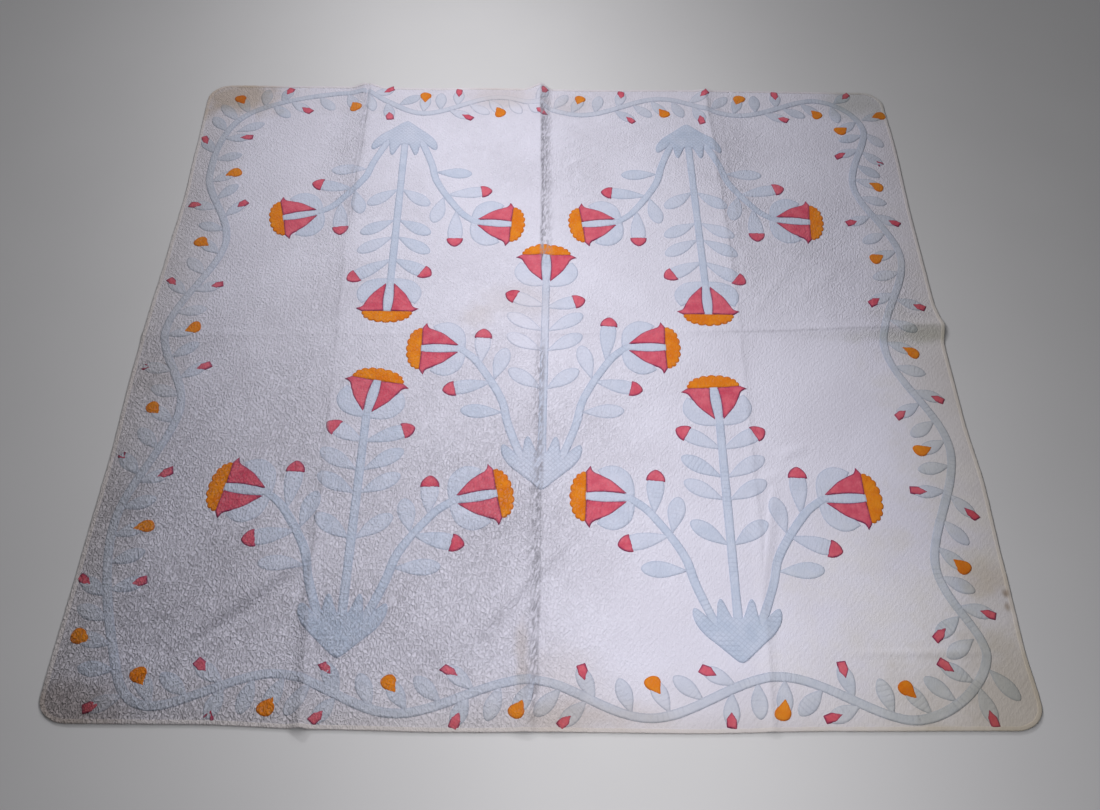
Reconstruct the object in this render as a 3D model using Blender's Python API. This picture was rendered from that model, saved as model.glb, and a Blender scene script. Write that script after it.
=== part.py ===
"""Applique quilt spread out flat, with the creases of its old storage folds.

Units are metres. +X runs across the width, +Y along the length towards the far
end, +Z up. The origin is on the surface that the quilt lies on, under its middle.
The pieces are the quilted ground, the binding sewn round its edge, the border vine
and five sprays cut from pale blue cloth, and the petals and crowns of the flowers.
"""

import math

import bmesh
import bpy
from mathutils import Vector
from mathutils.geometry import delaunay_2d_cdt

# Driving dimensions
WIDTH = 2.03
LENGTH = 1.95
CORNER_RADIUS = 0.060
THICKNESS = 0.0045
PATCH_THICKNESS = 0.0010
GAP = 0.0003
SEAT = 0.0004

# Binding: a folded tape that grips the edge of the ground
TAPE = 0.0008
TAPE_WIDTH = 0.0090
TAPE_HEIGHT = 0.0046
TAPE_CLEAR_OF_FLOOR = 0.0002
EDGE_SLOPE_WIDTH = 0.0035

# Quilting: ridges between the sewn rows, at about five times the pitch of the real rows
ROW_PITCH = 0.066
ROW_DEPTH = 0.0014
ROW_POINT_STEP = 0.165
ROW_CLEARANCE = 0.010
# How uneven the rows are: share that never changes, share that does, and waves across and along
ROW_EVEN, ROW_UNEVEN = 0.8, 0.2
ROW_WAVES = ((9.0, 4.0), (-3.0, 7.0))

# Steps of the outline and of the creases
EDGE_STEP = 0.160
CORNER_STEPS = 5
CREASE_STEP = 0.140
CREASE_END_MARGIN = 0.075
MERGE = 0.00005
MITRE_LIMIT = 0.5
FACET_SLACK = 0.0001
STRAIGHTEN = 0.0010
FINE_STRAIGHTEN = 0.0001

# Colours of the cloths
OFF_WHITE = (0.62, 0.60, 0.66)
BLUE = (0.46, 0.52, 0.62)
RED = (0.55, 0.10, 0.14)
ORANGE = (0.62, 0.22, 0.02)
CLOTH_ROUGHNESS = 0.9

# How far each edge bulges outwards from the plain rectangle: place along it, bulge
BOTTOM_EDGE = ((-0.95, -0.006), (-0.70, -0.006), (-0.45, 0.002), (-0.20, 0.006),
               (0.05, 0.004), (0.30, 0.005), (0.60, -0.002), (0.95, -0.005))
RIGHT_EDGE = ((-0.91, 0.003), (-0.80, -0.002), (-0.60, 0.001), (-0.40, 0.005), (-0.22, -0.003),
              (0.00, -0.003), (0.068, 0.007), (0.16, -0.002), (0.45, -0.002), (0.75, 0.004), (0.91, 0.001))
TOP_EDGE = ((-0.95, 0.001), (-0.60, 0.003), (-0.35, -0.001), (-0.20, 0.004), (0.10, 0.001),
            (0.45, 0.006), (0.95, 0.002))
LEFT_EDGE = ((-0.91, 0.004), (-0.60, 0.001), (-0.35, -0.001), (-0.10, 0.004), (0.05, 0.004),
             (0.30, -0.001), (0.50, -0.004), (0.70, 0.001), (0.91, 0.007))

# Creases from edge to edge. Each row: place along the crease, place of the crest
# across it, height of the crest, reach of the near flank, reach of the far flank
CENTRE_CREASE = ((-0.975, -0.021, 0.0045, 0.026, 0.022), (-0.75, -0.018, 0.0040, 0.024, 0.022),
                 (-0.20, -0.012, 0.0055, 0.026, 0.024), (0.20, -0.012, 0.0035, 0.026, 0.022),
                 (0.55, -0.013, 0.0070, 0.030, 0.024), (0.80, -0.018, 0.0130, 0.034, 0.028),
                 (0.975, -0.022, 0.0240, 0.038, 0.032))
LEFT_CREASE = ((-0.975, -0.487, 0.0050, 0.028, 0.024), (-0.62, -0.512, 0.0045, 0.026, 0.022),
               (-0.35, -0.515, 0.0035, 0.026, 0.022), (0.10, -0.537, 0.0035, 0.026, 0.024),
               (0.47, -0.548, 0.0050, 0.030, 0.026), (0.80, -0.546, 0.0100, 0.036, 0.032),
               (0.975, -0.543, 0.0180, 0.040, 0.038))
RIGHT_CREASE = ((-0.975, 0.464, 0.0035, 0.024, 0.024), (-0.57, 0.482, 0.0030, 0.024, 0.024),
                (0.10, 0.498, 0.0025, 0.024, 0.024), (0.60, 0.490, 0.0035, 0.026, 0.026),
                (0.975, 0.479, 0.0060, 0.032, 0.032))
CROSS_CREASE = ((-1.015, 0.012, 0.0040, 0.028, 0.026), (-0.54, 0.020, 0.0030, 0.026, 0.024),
                (0.00, 0.030, 0.0025, 0.026, 0.024), (0.50, 0.045, 0.0030, 0.026, 0.024),
                (0.80, 0.060, 0.0060, 0.030, 0.028), (1.015, 0.068, 0.0110, 0.034, 0.032))
CREST_SHARPNESS = 1.4
# Long lines that a crease is drawn with: -1 and 1 are its feet, 0 is its crest
FINE_LINES = (-1.0, -0.5, 0.0, 0.5, 1.0)
PLAIN_LINES = (-1.0, 0.0, 1.0)
HIGH_CREASE = 0.0060

# Soft folds inside the ground: start x, start y, end x, end y, height, reach
SOFT_FOLDS = ((-0.585, -0.653, -0.770, -0.795, 0.0065, 0.034),
              (-0.070, -0.700, -0.170, -0.800, 0.0045, 0.030),
              (0.545, -0.330, 0.620, -0.300, 0.0025, 0.022))

# Sprays. Each row: name, base x, base y, turn in degrees, then for the top, the left
# and the right flower its base x and y from the spray's own base, and its tilt in degrees
SPRAYS = (
    ("low_left", -0.430, -0.825, 0.0, (0.000, 0.608, -10.0), (-0.207, 0.388, 8.0), (0.225, 0.372, 11.0)),
    ("low_right", 0.415, -0.830, 0.0, (0.005, 0.600, 4.0), (-0.222, 0.387, 2.0), (0.225, 0.388, 2.0)),
    ("centre", -0.008, -0.420, 0.0, (0.008, 0.620, 0.0), (-0.207, 0.400, 0.0), (0.213, 0.410, 0.0)),
    ("up_left", -0.415, 0.820, 180.0, (-0.005, 0.623, 0.0), (-0.220, 0.403, 4.0), (0.215, 0.372, 14.0)),
    ("up_right", 0.412, 0.820, 180.0, (-0.008, 0.623, 0.0), (-0.218, 0.382, 5.0), (0.217, 0.397, 7.0)),
)
STEM_WIDTH = 0.021
CENTRE_STEM_START = 0.075
# Side stem, right half, from the base tuft to the flower: x, y
SIDE_STEM = ((0.045, 0.070), (0.068, 0.130), (0.086, 0.180), (0.099, 0.230), (0.120, 0.272),
             (0.150, 0.318), (0.183, 0.360), (0.220, 0.388))
# Base tuft, right half, from its tip round to the centre stem: x, y
TUFT = ((0.012, 0.003), (0.045, 0.032), (0.078, 0.062), (0.096, 0.100), (0.092, 0.119), (0.074, 0.108),
        (0.050, 0.082), (0.042, 0.132), (0.031, 0.139), (0.020, 0.116), (0.012, 0.098))
# Leaves of the centre stem: place of the joint and of the tip, as parts of the stem's
# height, and how far the tip reaches out from the stem's middle
CENTRE_LEAVES = ((0.865, 0.955, 0.100), (0.732, 0.832, 0.098), (0.633, 0.722, 0.096), (0.440, 0.548, 0.087))
# Leaves of a side stem: joint x and y, tip x and y
SIDE_LEAVES = ((0.164, 0.345, 0.166, 0.466), (0.128, 0.292, 0.104, 0.392),
               (0.130, 0.292, 0.243, 0.268), (0.092, 0.205, 0.202, 0.211))
# Leaves that were laid a little off their template: place of the tip, how far it is moved
LEAF_SHIFTS = (
    (-0.523, -0.245, 0.015, -0.004), (-0.342, -0.246, 0.013, -0.015), (-0.259, -0.390, -0.008, -0.014),
    (0.245, -0.373, 0.013, -0.010), (0.649, -0.556, -0.003, -0.012), (0.508, 0.237, 0.002, -0.016),
    (0.147, 0.071, 0.015, 0.001), (0.087, 0.172, -0.004, -0.030), (-0.158, 0.057, -0.002, -0.026),
    (-0.503, 0.236, -0.008, -0.019), (0.180, 0.551, -0.011, -0.010), (-0.185, 0.548, 0.011, -0.007),
    (-0.577, 0.395, 0.012, -0.006), (0.642, 0.559, 0.010, 0.005), (-0.093, 0.172, 0.002, -0.011),
)
LEAF_SHIFT_REACH = 0.030
LEAF_WIDTH = 0.037
# Leaf outline: part of the length, part of the half width
LEAF_SIDE = ((0.00, 0.22), (0.54, 1.00), (0.97, 0.50))

# Flower, right half, drawn pointing up from the top of its stem: x, y
PETAL = ((0.0115, 0.000), (0.027, 0.019), (0.045, 0.042), (0.057, 0.066), (0.064, 0.083), (0.082, 0.089),
         (0.066, 0.099), (0.0105, 0.097), (0.0130, 0.050))
CALYX = ((0.000, -0.014), (0.034, -0.013), (0.064, -0.002), (0.083, 0.024), (0.083, 0.050),
         (0.070, 0.074), (0.050, 0.052), (0.032, 0.024), (0.000, 0.004))
CROWN_HALF_WIDTH = 0.0665
CROWN_FOOT = 0.0985
CROWN_TOP = 0.1370
CROWN_SCALLOPS = 9
SCALLOP_DEPTH = 0.0045
# Share of the scallops' depth that shows upwards, and how square the dome's shoulders are
SCALLOP_RISE = 2.2
DOME_SQUARENESS = 0.8
TONGUE_HALF_WIDTH = 0.009
TONGUE_FOOT = -0.006

# Border vine: crests of its waves, going round clockwise from the low right corner. Each
# row: x, y, the side of the vine that its leaves grow on (1 towards the middle, -1 towards
# the edge), then its first, middle and last leaf: how far along the vine from the crest it
# starts, and its angle off the vine in degrees. The leaves between them are halfway, and a
# None leaves a leaf and the one beside it out
VINE_WIDTH = 0.024
VINE_CRESTS = (
    (0.760, -0.950, 1, (-0.160, 80), (-0.034, 70), (0.129, 50)),
    (0.490, -0.862, -1, (-0.173, 50), (-0.010, 85), (0.107, 60)),
    (0.220, -0.950, 1, (-0.195, 50), (-0.040, 80), (0.118, 40)),
    (-0.030, -0.872, -1, (-0.130, 70), (-0.013, 65), (0.126, 45)),
    (-0.300, -0.944, 1, (-0.170, 60), (-0.026, 65), (0.120, 35)),
    (-0.550, -0.863, -1, (-0.138, 80), (-0.019, 75), (0.106, 50)),
    (-0.805, -0.932, 1, (-0.161, 55), (-0.014, 60), None),
    (-0.902, -0.800, -1, (-0.122, 70), (-0.006, 55), (0.108, 40)),
    (-0.964, -0.515, 1, (-0.171, 85), (-0.038, 70), (0.103, 50)),
    (-0.880, -0.210, -1, (-0.195, 65), (-0.043, 65), (0.119, 50)),
    (-0.964, 0.035, 1, (-0.170, 80), (-0.026, 80), (0.130, 45)),
    (-0.866, 0.330, -1, (-0.200, 70), (-0.043, 65), (0.135, 50)),
    (-0.957, 0.590, 1, (-0.180, 65), (-0.032, 70), (0.150, 70)),
    (-0.893, 0.843, -1, (-0.185, 40), (0.007, 75), (0.109, 50)),
    (-0.585, 0.948, 1, (-0.195, 55), (-0.021, 70), (0.109, 45)),
    (-0.372, 0.860, -1, (-0.175, 50), (0.000, 85), (0.106, 60)),
    (-0.145, 0.935, 1, (-0.167, 50), (-0.036, 70), (0.085, 30)),
    (0.100, 0.860, -1, (-0.145, 85), (-0.031, 75), (0.114, 50)),
    (0.340, 0.936, 1, (-0.153, 65), (-0.030, 70), (0.100, 45)),
    (0.575, 0.866, -1, (-0.162, 60), (-0.018, 80), (0.120, 65)),
    (0.812, 0.934, 1, (-0.179, 45), (-0.052, 65), None),
    (0.936, 0.815, 1, None, (-0.035, 75), (0.091, 45)),
    (0.870, 0.570, -1, (-0.158, 65), (-0.033, 75), (0.110, 35)),
    (0.955, 0.300, 1, (-0.168, 90), (-0.029, 75), (0.126, 40)),
    (0.858, -0.005, -1, (-0.175, 90), (-0.023, 70), (0.135, 40)),
    (0.960, -0.300, 1, (-0.138, 85), (-0.023, 70), (0.122, 65)),
    (0.864, -0.605, -1, (-0.195, 60), (-0.049, 60), (0.101, 50)),
    (0.928, -0.820, 1, None, None, None),
)
VINE_STEPS = 4
VINE_LEAF_LENGTH = 0.083
VINE_LEAF_WIDTH = 0.034
# Leaves at the corners, outside the even waves: joint x and y, tip x and y
CORNER_LEAVES = (
    (0.897, -0.874, 0.915, -0.963), (0.924, -0.838, 0.978, -0.908),
    (0.895, -0.722, 0.830, -0.775), (0.914, -0.774, 0.845, -0.818),
    (-0.915, 0.768, -0.835, 0.808), (-0.828, 0.896, -0.765, 0.833), (-0.912, 0.812, -0.975, 0.888),
    (0.862, 0.922, 0.920, 0.965), (0.935, 0.850, 1.005, 0.875),
    (0.938, 0.800, 0.985, 0.735), (0.855, 0.915, 0.868, 0.838),
)


def look_up(table, place, column):
    """Value of one column at a place along a table, in straight steps between its rows."""
    if place <= table[0][0]:
        return table[0][column]
    for low, high in zip(table, table[1:]):
        if place <= high[0]:
            part = (place - low[0]) / (high[0] - low[0])
            return low[column] + part * (high[column] - low[column])
    return table[-1][column]


class Crease:
    """A ridge that an old storage fold leaves, from one edge of the quilt to the other."""

    def __init__(self, rows, lengthwise, flanks):
        self.rows = rows
        self.lengthwise = lengthwise
        self.flanks = flanks

    def line(self, along, flank):
        """Place across the crease of one of its long lines, from -1 to 1 over its flanks."""
        reach = look_up(self.rows, along, 3 if flank < 0 else 4)
        return look_up(self.rows, along, 1) + flank * reach

    def point(self, along, flank):
        across = self.line(along, flank)
        return (across, along) if self.lengthwise else (along, across)

    def lift(self, x, y):
        along, across = (y, x) if self.lengthwise else (x, y)
        offset = across - look_up(self.rows, along, 1)
        reach = look_up(self.rows, along, 3 if offset < 0 else 4)
        part = abs(offset) / reach
        if part >= 1:
            return 0.0
        return look_up(self.rows, along, 2) * (1 - part) ** CREST_SHARPNESS

    def clearance(self, x, y):
        """Distance from a point to the nearest foot of the crease, below zero inside it."""
        along, across = (y, x) if self.lengthwise else (x, y)
        return max(self.line(along, -1) - across, across - self.line(along, 1))


CREASES = (Crease(CENTRE_CREASE, True, FINE_LINES), Crease(LEFT_CREASE, True, PLAIN_LINES),
           Crease(RIGHT_CREASE, True, PLAIN_LINES), Crease(CROSS_CREASE, False, PLAIN_LINES))


def fold_place(fold, x, y):
    """Place of a point along a soft fold, from 0 to 1, and its distance from the crest."""
    start = Vector(fold[0:2])
    run = Vector(fold[2:4]) - start
    part = min(max((Vector((x, y)) - start).dot(run) / run.length_squared, 0), 1)
    return part, (Vector((x, y)) - start - part * run).length


def fold_lift(fold, x, y):
    part, distance = fold_place(fold, x, y)
    if distance >= fold[5]:
        return 0.0
    return fold[4] * math.sin(math.pi * part) * (1 - distance / fold[5])


def lift(x, y):
    """Height of the underside over the surface: zero but under creases and folds."""
    return max([crease.lift(x, y) for crease in CREASES] + [fold_lift(fold, x, y) for fold in SOFT_FOLDS])


def clearance(x, y):
    """Distance from a point to the nearest crease or soft fold."""
    return min([crease.clearance(x, y) for crease in CREASES]
               + [fold_place(fold, x, y)[1] - fold[5] for fold in SOFT_FOLDS])


def side_stations(half_run, ends):
    """Places along one side: the feet and crests of its creases, and even steps between them."""
    places = sorted(ends)
    count = round(2 * half_run / EDGE_STEP)
    for step in range(count + 1):
        place = -half_run + 2 * half_run * step / count
        if all(abs(place - end) > EDGE_STEP / 3 for end in ends):
            places.append(place)
    return sorted(places)


def outline():
    """Anticlockwise outline of the quilt, and which outline point each crease line starts from."""
    half_width, half_length = WIDTH / 2, LENGTH / 2
    run_x, run_y = half_width - CORNER_RADIUS, half_length - CORNER_RADIUS
    sides = (
        (BOTTOM_EDGE, run_x, 1, lambda t, bulge: (t, -half_length - bulge), True, -half_length),
        (RIGHT_EDGE, run_y, 1, lambda t, bulge: (half_width + bulge, t), False, half_width),
        (TOP_EDGE, run_x, -1, lambda t, bulge: (t, half_length + bulge), True, half_length),
        (LEFT_EDGE, run_y, -1, lambda t, bulge: (-half_width - bulge, t), False, -half_width),
    )
    corners = ((1, -1, RIGHT_EDGE, BOTTOM_EDGE, -90), (1, 1, RIGHT_EDGE, TOP_EDGE, 0),
               (-1, 1, LEFT_EDGE, TOP_EDGE, 90), (-1, -1, LEFT_EDGE, BOTTOM_EDGE, 180))
    points, starts = [], {}
    for (edge, run, way, place_of, lengthwise, end), corner in zip(sides, corners):
        lines = {}
        for crease in CREASES:
            if crease.lengthwise == lengthwise:
                for flank in crease.flanks:
                    lines[crease.line(end, flank)] = (crease, flank)
        for t in side_stations(run, list(lines))[::way]:
            if t in lines:
                starts[lines[t] + (end > 0,)] = len(points)
            points.append(Vector(place_of(t, look_up(edge, t, 1))))
        sign_x, sign_y, upright_edge, level_edge, first_angle = corner
        bulge_x = look_up(upright_edge, sign_y * run_y, 1)
        bulge_y = look_up(level_edge, sign_x * run_x, 1)
        for step in range(1, CORNER_STEPS):
            angle = math.radians(first_angle + 90 * step / CORNER_STEPS)
            points.append(Vector((sign_x * run_x + (CORNER_RADIUS + bulge_x) * math.cos(angle),
                                  sign_y * run_y + (CORNER_RADIUS + bulge_y) * math.sin(angle))))
    return points, starts


def inset(points, distance):
    """The same closed outline moved inwards by a distance."""
    moved = []
    for index, point in enumerate(points):
        before = (point - points[index - 1]).normalized()
        after = (points[(index + 1) % len(points)] - point).normalized()
        along = (before + after).normalized()
        inward = Vector((-along.y, along.x))
        sharpness = max(inward.dot(Vector((-before.y, before.x))), MITRE_LIMIT)
        moved.append(point + inward * distance / sharpness)
    return moved


def inside(polygon, x, y):
    """Tells if a point lies inside a closed polygon."""
    within = False
    for a, b in zip(polygon, polygon[1:] + polygon[:1]):
        if (a[1] > y) != (b[1] > y) and x < a[0] + (y - a[1]) * (b[0] - a[0]) / (b[1] - a[1]):
            within = not within
    return within


def crease_lines(field, starts):
    """The long lines of every crease and soft fold, from edge point to edge point."""
    lines = []
    for crease in CREASES:
        reach = (LENGTH if crease.lengthwise else WIDTH) / 2 - CREASE_END_MARGIN
        count = round(2 * reach / CREASE_STEP)
        for flank in crease.flanks:
            places = [-reach + 2 * reach * step / count for step in range(count + 1)]
            low_end, high_end = (field[starts[crease, flank, high]] for high in (False, True))
            lines.append([low_end] + [Vector(crease.point(place, flank)) for place in places] + [high_end])
    for fold in SOFT_FOLDS:
        start, end = Vector(fold[0:2]), Vector(fold[2:4])
        across = Vector((start.y - end.y, end.x - start.x)).normalized() * fold[5]
        for side in (-1, 0, 1):
            steps = (0.0, 0.25, 0.5, 0.75, 1.0) if side == 0 else (0.1, 0.5, 0.9)
            lines.append([start.lerp(end, part) + across * side for part in steps])
    return lines


def quilting_lines(field):
    """Crests and troughs of the quilted rows, sloping up to the right, clear of creases."""
    spacing = ROW_PITCH / 2
    reach = (WIDTH + LENGTH) / 2 / math.sqrt(2)
    limit = inset(field, ROW_CLEARANCE)
    along, across = Vector((1, 1)).normalized(), Vector((-1, 1)).normalized()
    lines = []
    for row in range(-int(reach / spacing), int(reach / spacing) + 1):
        line = []
        steps = int(2 * reach / ROW_POINT_STEP)
        for step in range(steps + 1):
            distance = -reach + (step + 0.5 * (row % 2)) * ROW_POINT_STEP
            point = across * row * spacing + along * distance
            if inside(limit, *point) and clearance(*point) > ROW_CLEARANCE:
                line.append(point)
                continue
            lines.append(line)
            line = []
        lines.append(line)
    return [line for line in lines if line]


def row_depth(x, y):
    """Depth of the quilting below the crests: none at a crest, full in a trough."""
    across = (y - x) / math.sqrt(2)
    wave = 0.5 - 0.5 * math.cos(2 * math.pi * across / ROW_PITCH)
    first, second = (math.sin(a * x + b * y) for a, b in ROW_WAVES)
    uneven = ROW_EVEN + ROW_UNEVEN * first * second
    fade = min(max(clearance(x, y) / ROW_CLEARANCE, 0), 1)
    return ROW_DEPTH * wave * uneven * fade


def signed_area(points):
    return sum(a.cross(b) for a, b in zip(points, points[1:] + points[:1])) / 2


def triangulate(loops, lines):
    """Flat triangles between closed loops and along open lines.

    Gives the points, the triangles and, for each triangle, the loops that it lies in.
    """
    points, edges, faces = [], [], []
    for loop in loops:
        faces.append(list(range(len(points), len(points) + len(loop))))
        points.extend(loop if signed_area(loop) > 0 else reversed(loop))
    for line in lines:
        first = len(points)
        points.extend(line)
        edges.extend((first + i, first + i + 1) for i in range(len(line) - 1))
    spots, _, triangles, _, _, owners = delaunay_2d_cdt(points, edges, faces, 0, MERGE)
    return spots, triangles, owners


def new_object(name, bm, colour):
    """Makes the node's object, with its faces pointing out and its own material."""
    bmesh.ops.recalc_face_normals(bm, faces=bm.faces)
    mesh = bpy.data.meshes.new(name)
    bm.to_mesh(mesh)
    bm.free()
    material = bpy.data.materials.new(name + "_cloth")
    material.use_nodes = True
    shader = material.node_tree.nodes["Principled BSDF"]
    shader.inputs["Base Color"].default_value = (*colour, 1)
    shader.inputs["Roughness"].default_value = CLOTH_ROUGHNESS
    shader.inputs["Metallic"].default_value = 0
    mesh.materials.append(material)
    piece = bpy.data.objects.new(name, mesh)
    bpy.context.scene.collection.objects.link(piece)
    return piece


def add_strip(bm, ring_a, ring_b):
    """Quads between two rings of vertices, each split in two."""
    for i in range(len(ring_a)):
        j = (i + 1) % len(ring_a)
        bm.faces.new((ring_a[i], ring_a[j], ring_b[j]))
        bm.faces.new((ring_a[i], ring_b[j], ring_b[i]))


def add_field(bm, loop, ring, lines, height):
    """Fills a face of the ground between its innermost ring, along the given lines."""
    spots, triangles, owners = triangulate([loop], lines)
    known = {tuple(round(value, 5) for value in spot): vertex for spot, vertex in zip(loop, ring)}
    vertices = []
    for spot in spots:
        key = tuple(round(value, 5) for value in spot)
        vertices.append(known.get(key) or bm.verts.new((spot.x, spot.y, height(spot.x, spot.y))))
    kept = [triangle for triangle, owner in zip(triangles, owners) if owner]
    for triangle in kept:
        bm.faces.new([vertices[i] for i in triangle])
    for vertex in [vertex for vertex in vertices if not vertex.link_faces]:
        bm.verts.remove(vertex)
    return spots, kept


def make_ground(edge, starts):
    """The quilted ground, as one solid. Gives its triangles on the creases, for what lies on it."""
    bm = bmesh.new()
    grip = TAPE_CLEAR_OF_FLOOR + TAPE + GAP
    insets = (TAPE + GAP, TAPE_WIDTH + GAP, TAPE_WIDTH + GAP + EDGE_SLOPE_WIDTH)
    loops = [inset(edge, distance) for distance in insets]
    under = (grip, grip, 0.0)
    over = (TAPE_HEIGHT - TAPE - GAP, TAPE_HEIGHT - TAPE - GAP, THICKNESS)
    bottoms = [[bm.verts.new((p.x, p.y, lift(*p) + z)) for p in loop] for loop, z in zip(loops, under)]
    tops = [[bm.verts.new((p.x, p.y, lift(*p) + z)) for p in loop] for loop, z in zip(loops, over)]
    add_strip(bm, bottoms[0], tops[0])
    for rings in (bottoms, tops):
        add_strip(bm, rings[0], rings[1])
        add_strip(bm, rings[1], rings[2])
    field = loops[2]
    creases = crease_lines(field, starts)
    add_field(bm, field, bottoms[2], creases, lift)
    rows = quilting_lines(field)
    spots, triangles = add_field(bm, field, tops[2], creases + rows,
                                 lambda x, y: lift(x, y) + THICKNESS - row_depth(x, y))
    new_object("quilted_ground", bm, OFF_WHITE)
    facets = []
    for triangle in triangles:
        corners = [(spots[i].x, spots[i].y, lift(*spots[i])) for i in triangle]
        if max(z for _, _, z in corners) > 0:
            facets.append(corners)
    return field, facets, creases


def facet_lift(facets, x, y):
    """Height of the ground's crests over a point, on the flat facets of the creases."""
    for (ax, ay, az), (bx, by, bz), (cx, cy, cz) in facets:
        size = (bx - ax) * (cy - ay) - (cx - ax) * (by - ay)
        b = ((x - ax) * (cy - ay) - (cx - ax) * (y - ay)) / size
        c = ((bx - ax) * (y - ay) - (x - ax) * (by - ay)) / size
        if min(b, c, 1 - b - c) >= -FACET_SLACK:
            return az + b * (bz - az) + c * (cz - az)
    return 0.0


def make_binding(edge):
    """The binding: a tape folded over the edge of the ground, all the way round."""
    low, high = TAPE_CLEAR_OF_FLOOR, TAPE_HEIGHT
    section = ((TAPE_WIDTH, high), (0.0, high), (0.0, low), (TAPE_WIDTH, low),
               (TAPE_WIDTH, low + TAPE), (TAPE, low + TAPE), (TAPE, high - TAPE), (TAPE_WIDTH, high - TAPE))
    bm = bmesh.new()
    rings = []
    for distance, height in section:
        loop = inset(edge, distance)
        rings.append([bm.verts.new((p.x, p.y, lift(*p) + height)) for p in loop])
    for ring_a, ring_b in zip(rings, rings[1:] + rings[:1]):
        add_strip(bm, ring_a, ring_b)
    new_object("binding", bm, OFF_WHITE)


def region(shapes, cutters, field):
    """Closed outlines of the joined shapes, less the cutters and what is outside the field.

    The outer outline runs anticlockwise and holes run clockwise.
    """
    loops = [[Vector(p) for p in shape] for shape in shapes]
    others = [[Vector(p) for p in cutter] for cutter in cutters]
    spots, triangles, owners = triangulate(loops + others + [field], [])
    first, last = len(loops), len(loops) + len(others)
    rims = set()
    for triangle, owner in zip(triangles, owners):
        if last not in owner or min(owner) >= first or any(first <= i < last for i in owner):
            continue
        for a, b in zip(triangle, triangle[1:] + triangle[:1]):
            if (b, a) in rims:
                rims.discard((b, a))
            else:
                rims.add((a, b))
    rims = dict(sorted(rims))
    outlines = []
    while rims:
        start, following = rims.popitem()
        line = [start]
        while following != start:
            line.append(following)
            following = rims.pop(following)
        outlines.append(straightened([spots[i] for i in line], FINE_STRAIGHTEN if cutters else STRAIGHTEN))
    return outlines


def straightened(points, tolerance):
    """The closed outline without the points that lie close to a line between their neighbours."""
    kept = list(points)
    index = 0
    while index < len(kept):
        before, here, after = kept[index - 1], kept[index], kept[(index + 1) % len(kept)]
        run = after - before
        if abs((here - before).cross(run)) < tolerance * run.length and len(kept) > 3:
            kept.pop(index)
        else:
            index += 1
    return kept


def breaks_under(outlines, creases, facets):
    """Lines that a patch bends along: the crease lines, and each facet where they are high or meet."""
    spread = [p for line in outlines for p in line]
    left, right = min(p.x for p in spread), max(p.x for p in spread)
    bottom, top = min(p.y for p in spread), max(p.y for p in spread)
    segments = [(a, b) for line in creases for a, b in zip(line, line[1:])]
    for corners in facets:
        flat = [Vector(corner[:2]) for corner in corners]
        middle = (flat[0] + flat[1] + flat[2]) / 3
        meeting = sum(crease.lift(*middle) > 0 for crease in CREASES) > 1
        if meeting or max(z for _, _, z in corners) > HIGH_CREASE:
            segments.extend(zip(flat, flat[1:] + flat[:1]))
    near = [(a, b) for a, b in segments if max(a.x, b.x) > left and min(a.x, b.x) < right]
    return [(a, b) for a, b in near if max(a.y, b.y) > bottom and min(a.y, b.y) < top]


def make_patch(name, shapes, cutters, ground, colour):
    """A patch of cloth sewn on the ground, which follows the facets of its creases."""
    field, facets, creases = ground
    outlines = region(shapes, cutters, field)
    spots, triangles, owners = triangulate(outlines, breaks_under(outlines, creases, facets))
    holes = {i for i, line in enumerate(outlines) if signed_area(line) < 0}
    kept = [t for t, owner in zip(triangles, owners) if owner and not holes.intersection(owner)]
    bm = bmesh.new()
    lower, upper, rims = {}, {}, set()
    for index in sorted({i for t in kept for i in t}):
        x, y = spots[index]
        z = facet_lift(facets, x, y) + THICKNESS + SEAT
        lower[index] = bm.verts.new((x, y, z))
        upper[index] = bm.verts.new((x, y, z + PATCH_THICKNESS))
    for triangle in kept:
        bm.faces.new([upper[i] for i in triangle])
        bm.faces.new([lower[i] for i in reversed(triangle)])
        for a, b in zip(triangle, triangle[1:] + triangle[:1]):
            if (b, a) in rims:
                rims.discard((b, a))
            else:
                rims.add((a, b))
    for a, b in sorted(rims):
        bm.faces.new((lower[a], lower[b], upper[b]))
        bm.faces.new((lower[a], upper[b], upper[a]))
    new_object(name, bm, colour)


def strip(points, width):
    """Outlines, one for each step, of a strip of cloth along a line of points."""
    sides = []
    for index, point in enumerate(points):
        before = points[max(index - 1, 0)]
        after = points[min(index + 1, len(points) - 1)]
        along = (after - before).normalized()
        across = Vector((-along.y, along.x)) * width / 2
        sides.append((point + across, point - across))
    return [[a[1], b[1], b[0], a[0]] for a, b in zip(sides, sides[1:])]


def leaf(joint, tip, width):
    """Outline of a leaf that narrows to its joint and is blunt at its tip."""
    along = tip - joint
    across = Vector((-along.y, along.x)).normalized() * width / 2
    right = [joint + along * part - across * reach for part, reach in LEAF_SIDE]
    left = [joint + along * part + across * reach for part, reach in reversed(LEAF_SIDE)]
    return right + left


def shifted(tip):
    """The tip of a leaf, moved if its leaf was laid off its template."""
    for x, y, move_x, move_y in LEAF_SHIFTS:
        if (tip - Vector((x, y))).length < LEAF_SHIFT_REACH:
            return tip + Vector((move_x, move_y))
    return tip


def mirrored(points):
    return [(-x, y) for x, y in reversed(points)]


def turned(points, base, degrees):
    """Points of a shape drawn at the origin, turned and moved to its base."""
    cosine, sine = math.cos(math.radians(degrees)), math.sin(math.radians(degrees))
    return [Vector((base[0] + x * cosine - y * sine, base[1] + x * sine + y * cosine)) for x, y in points]


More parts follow.
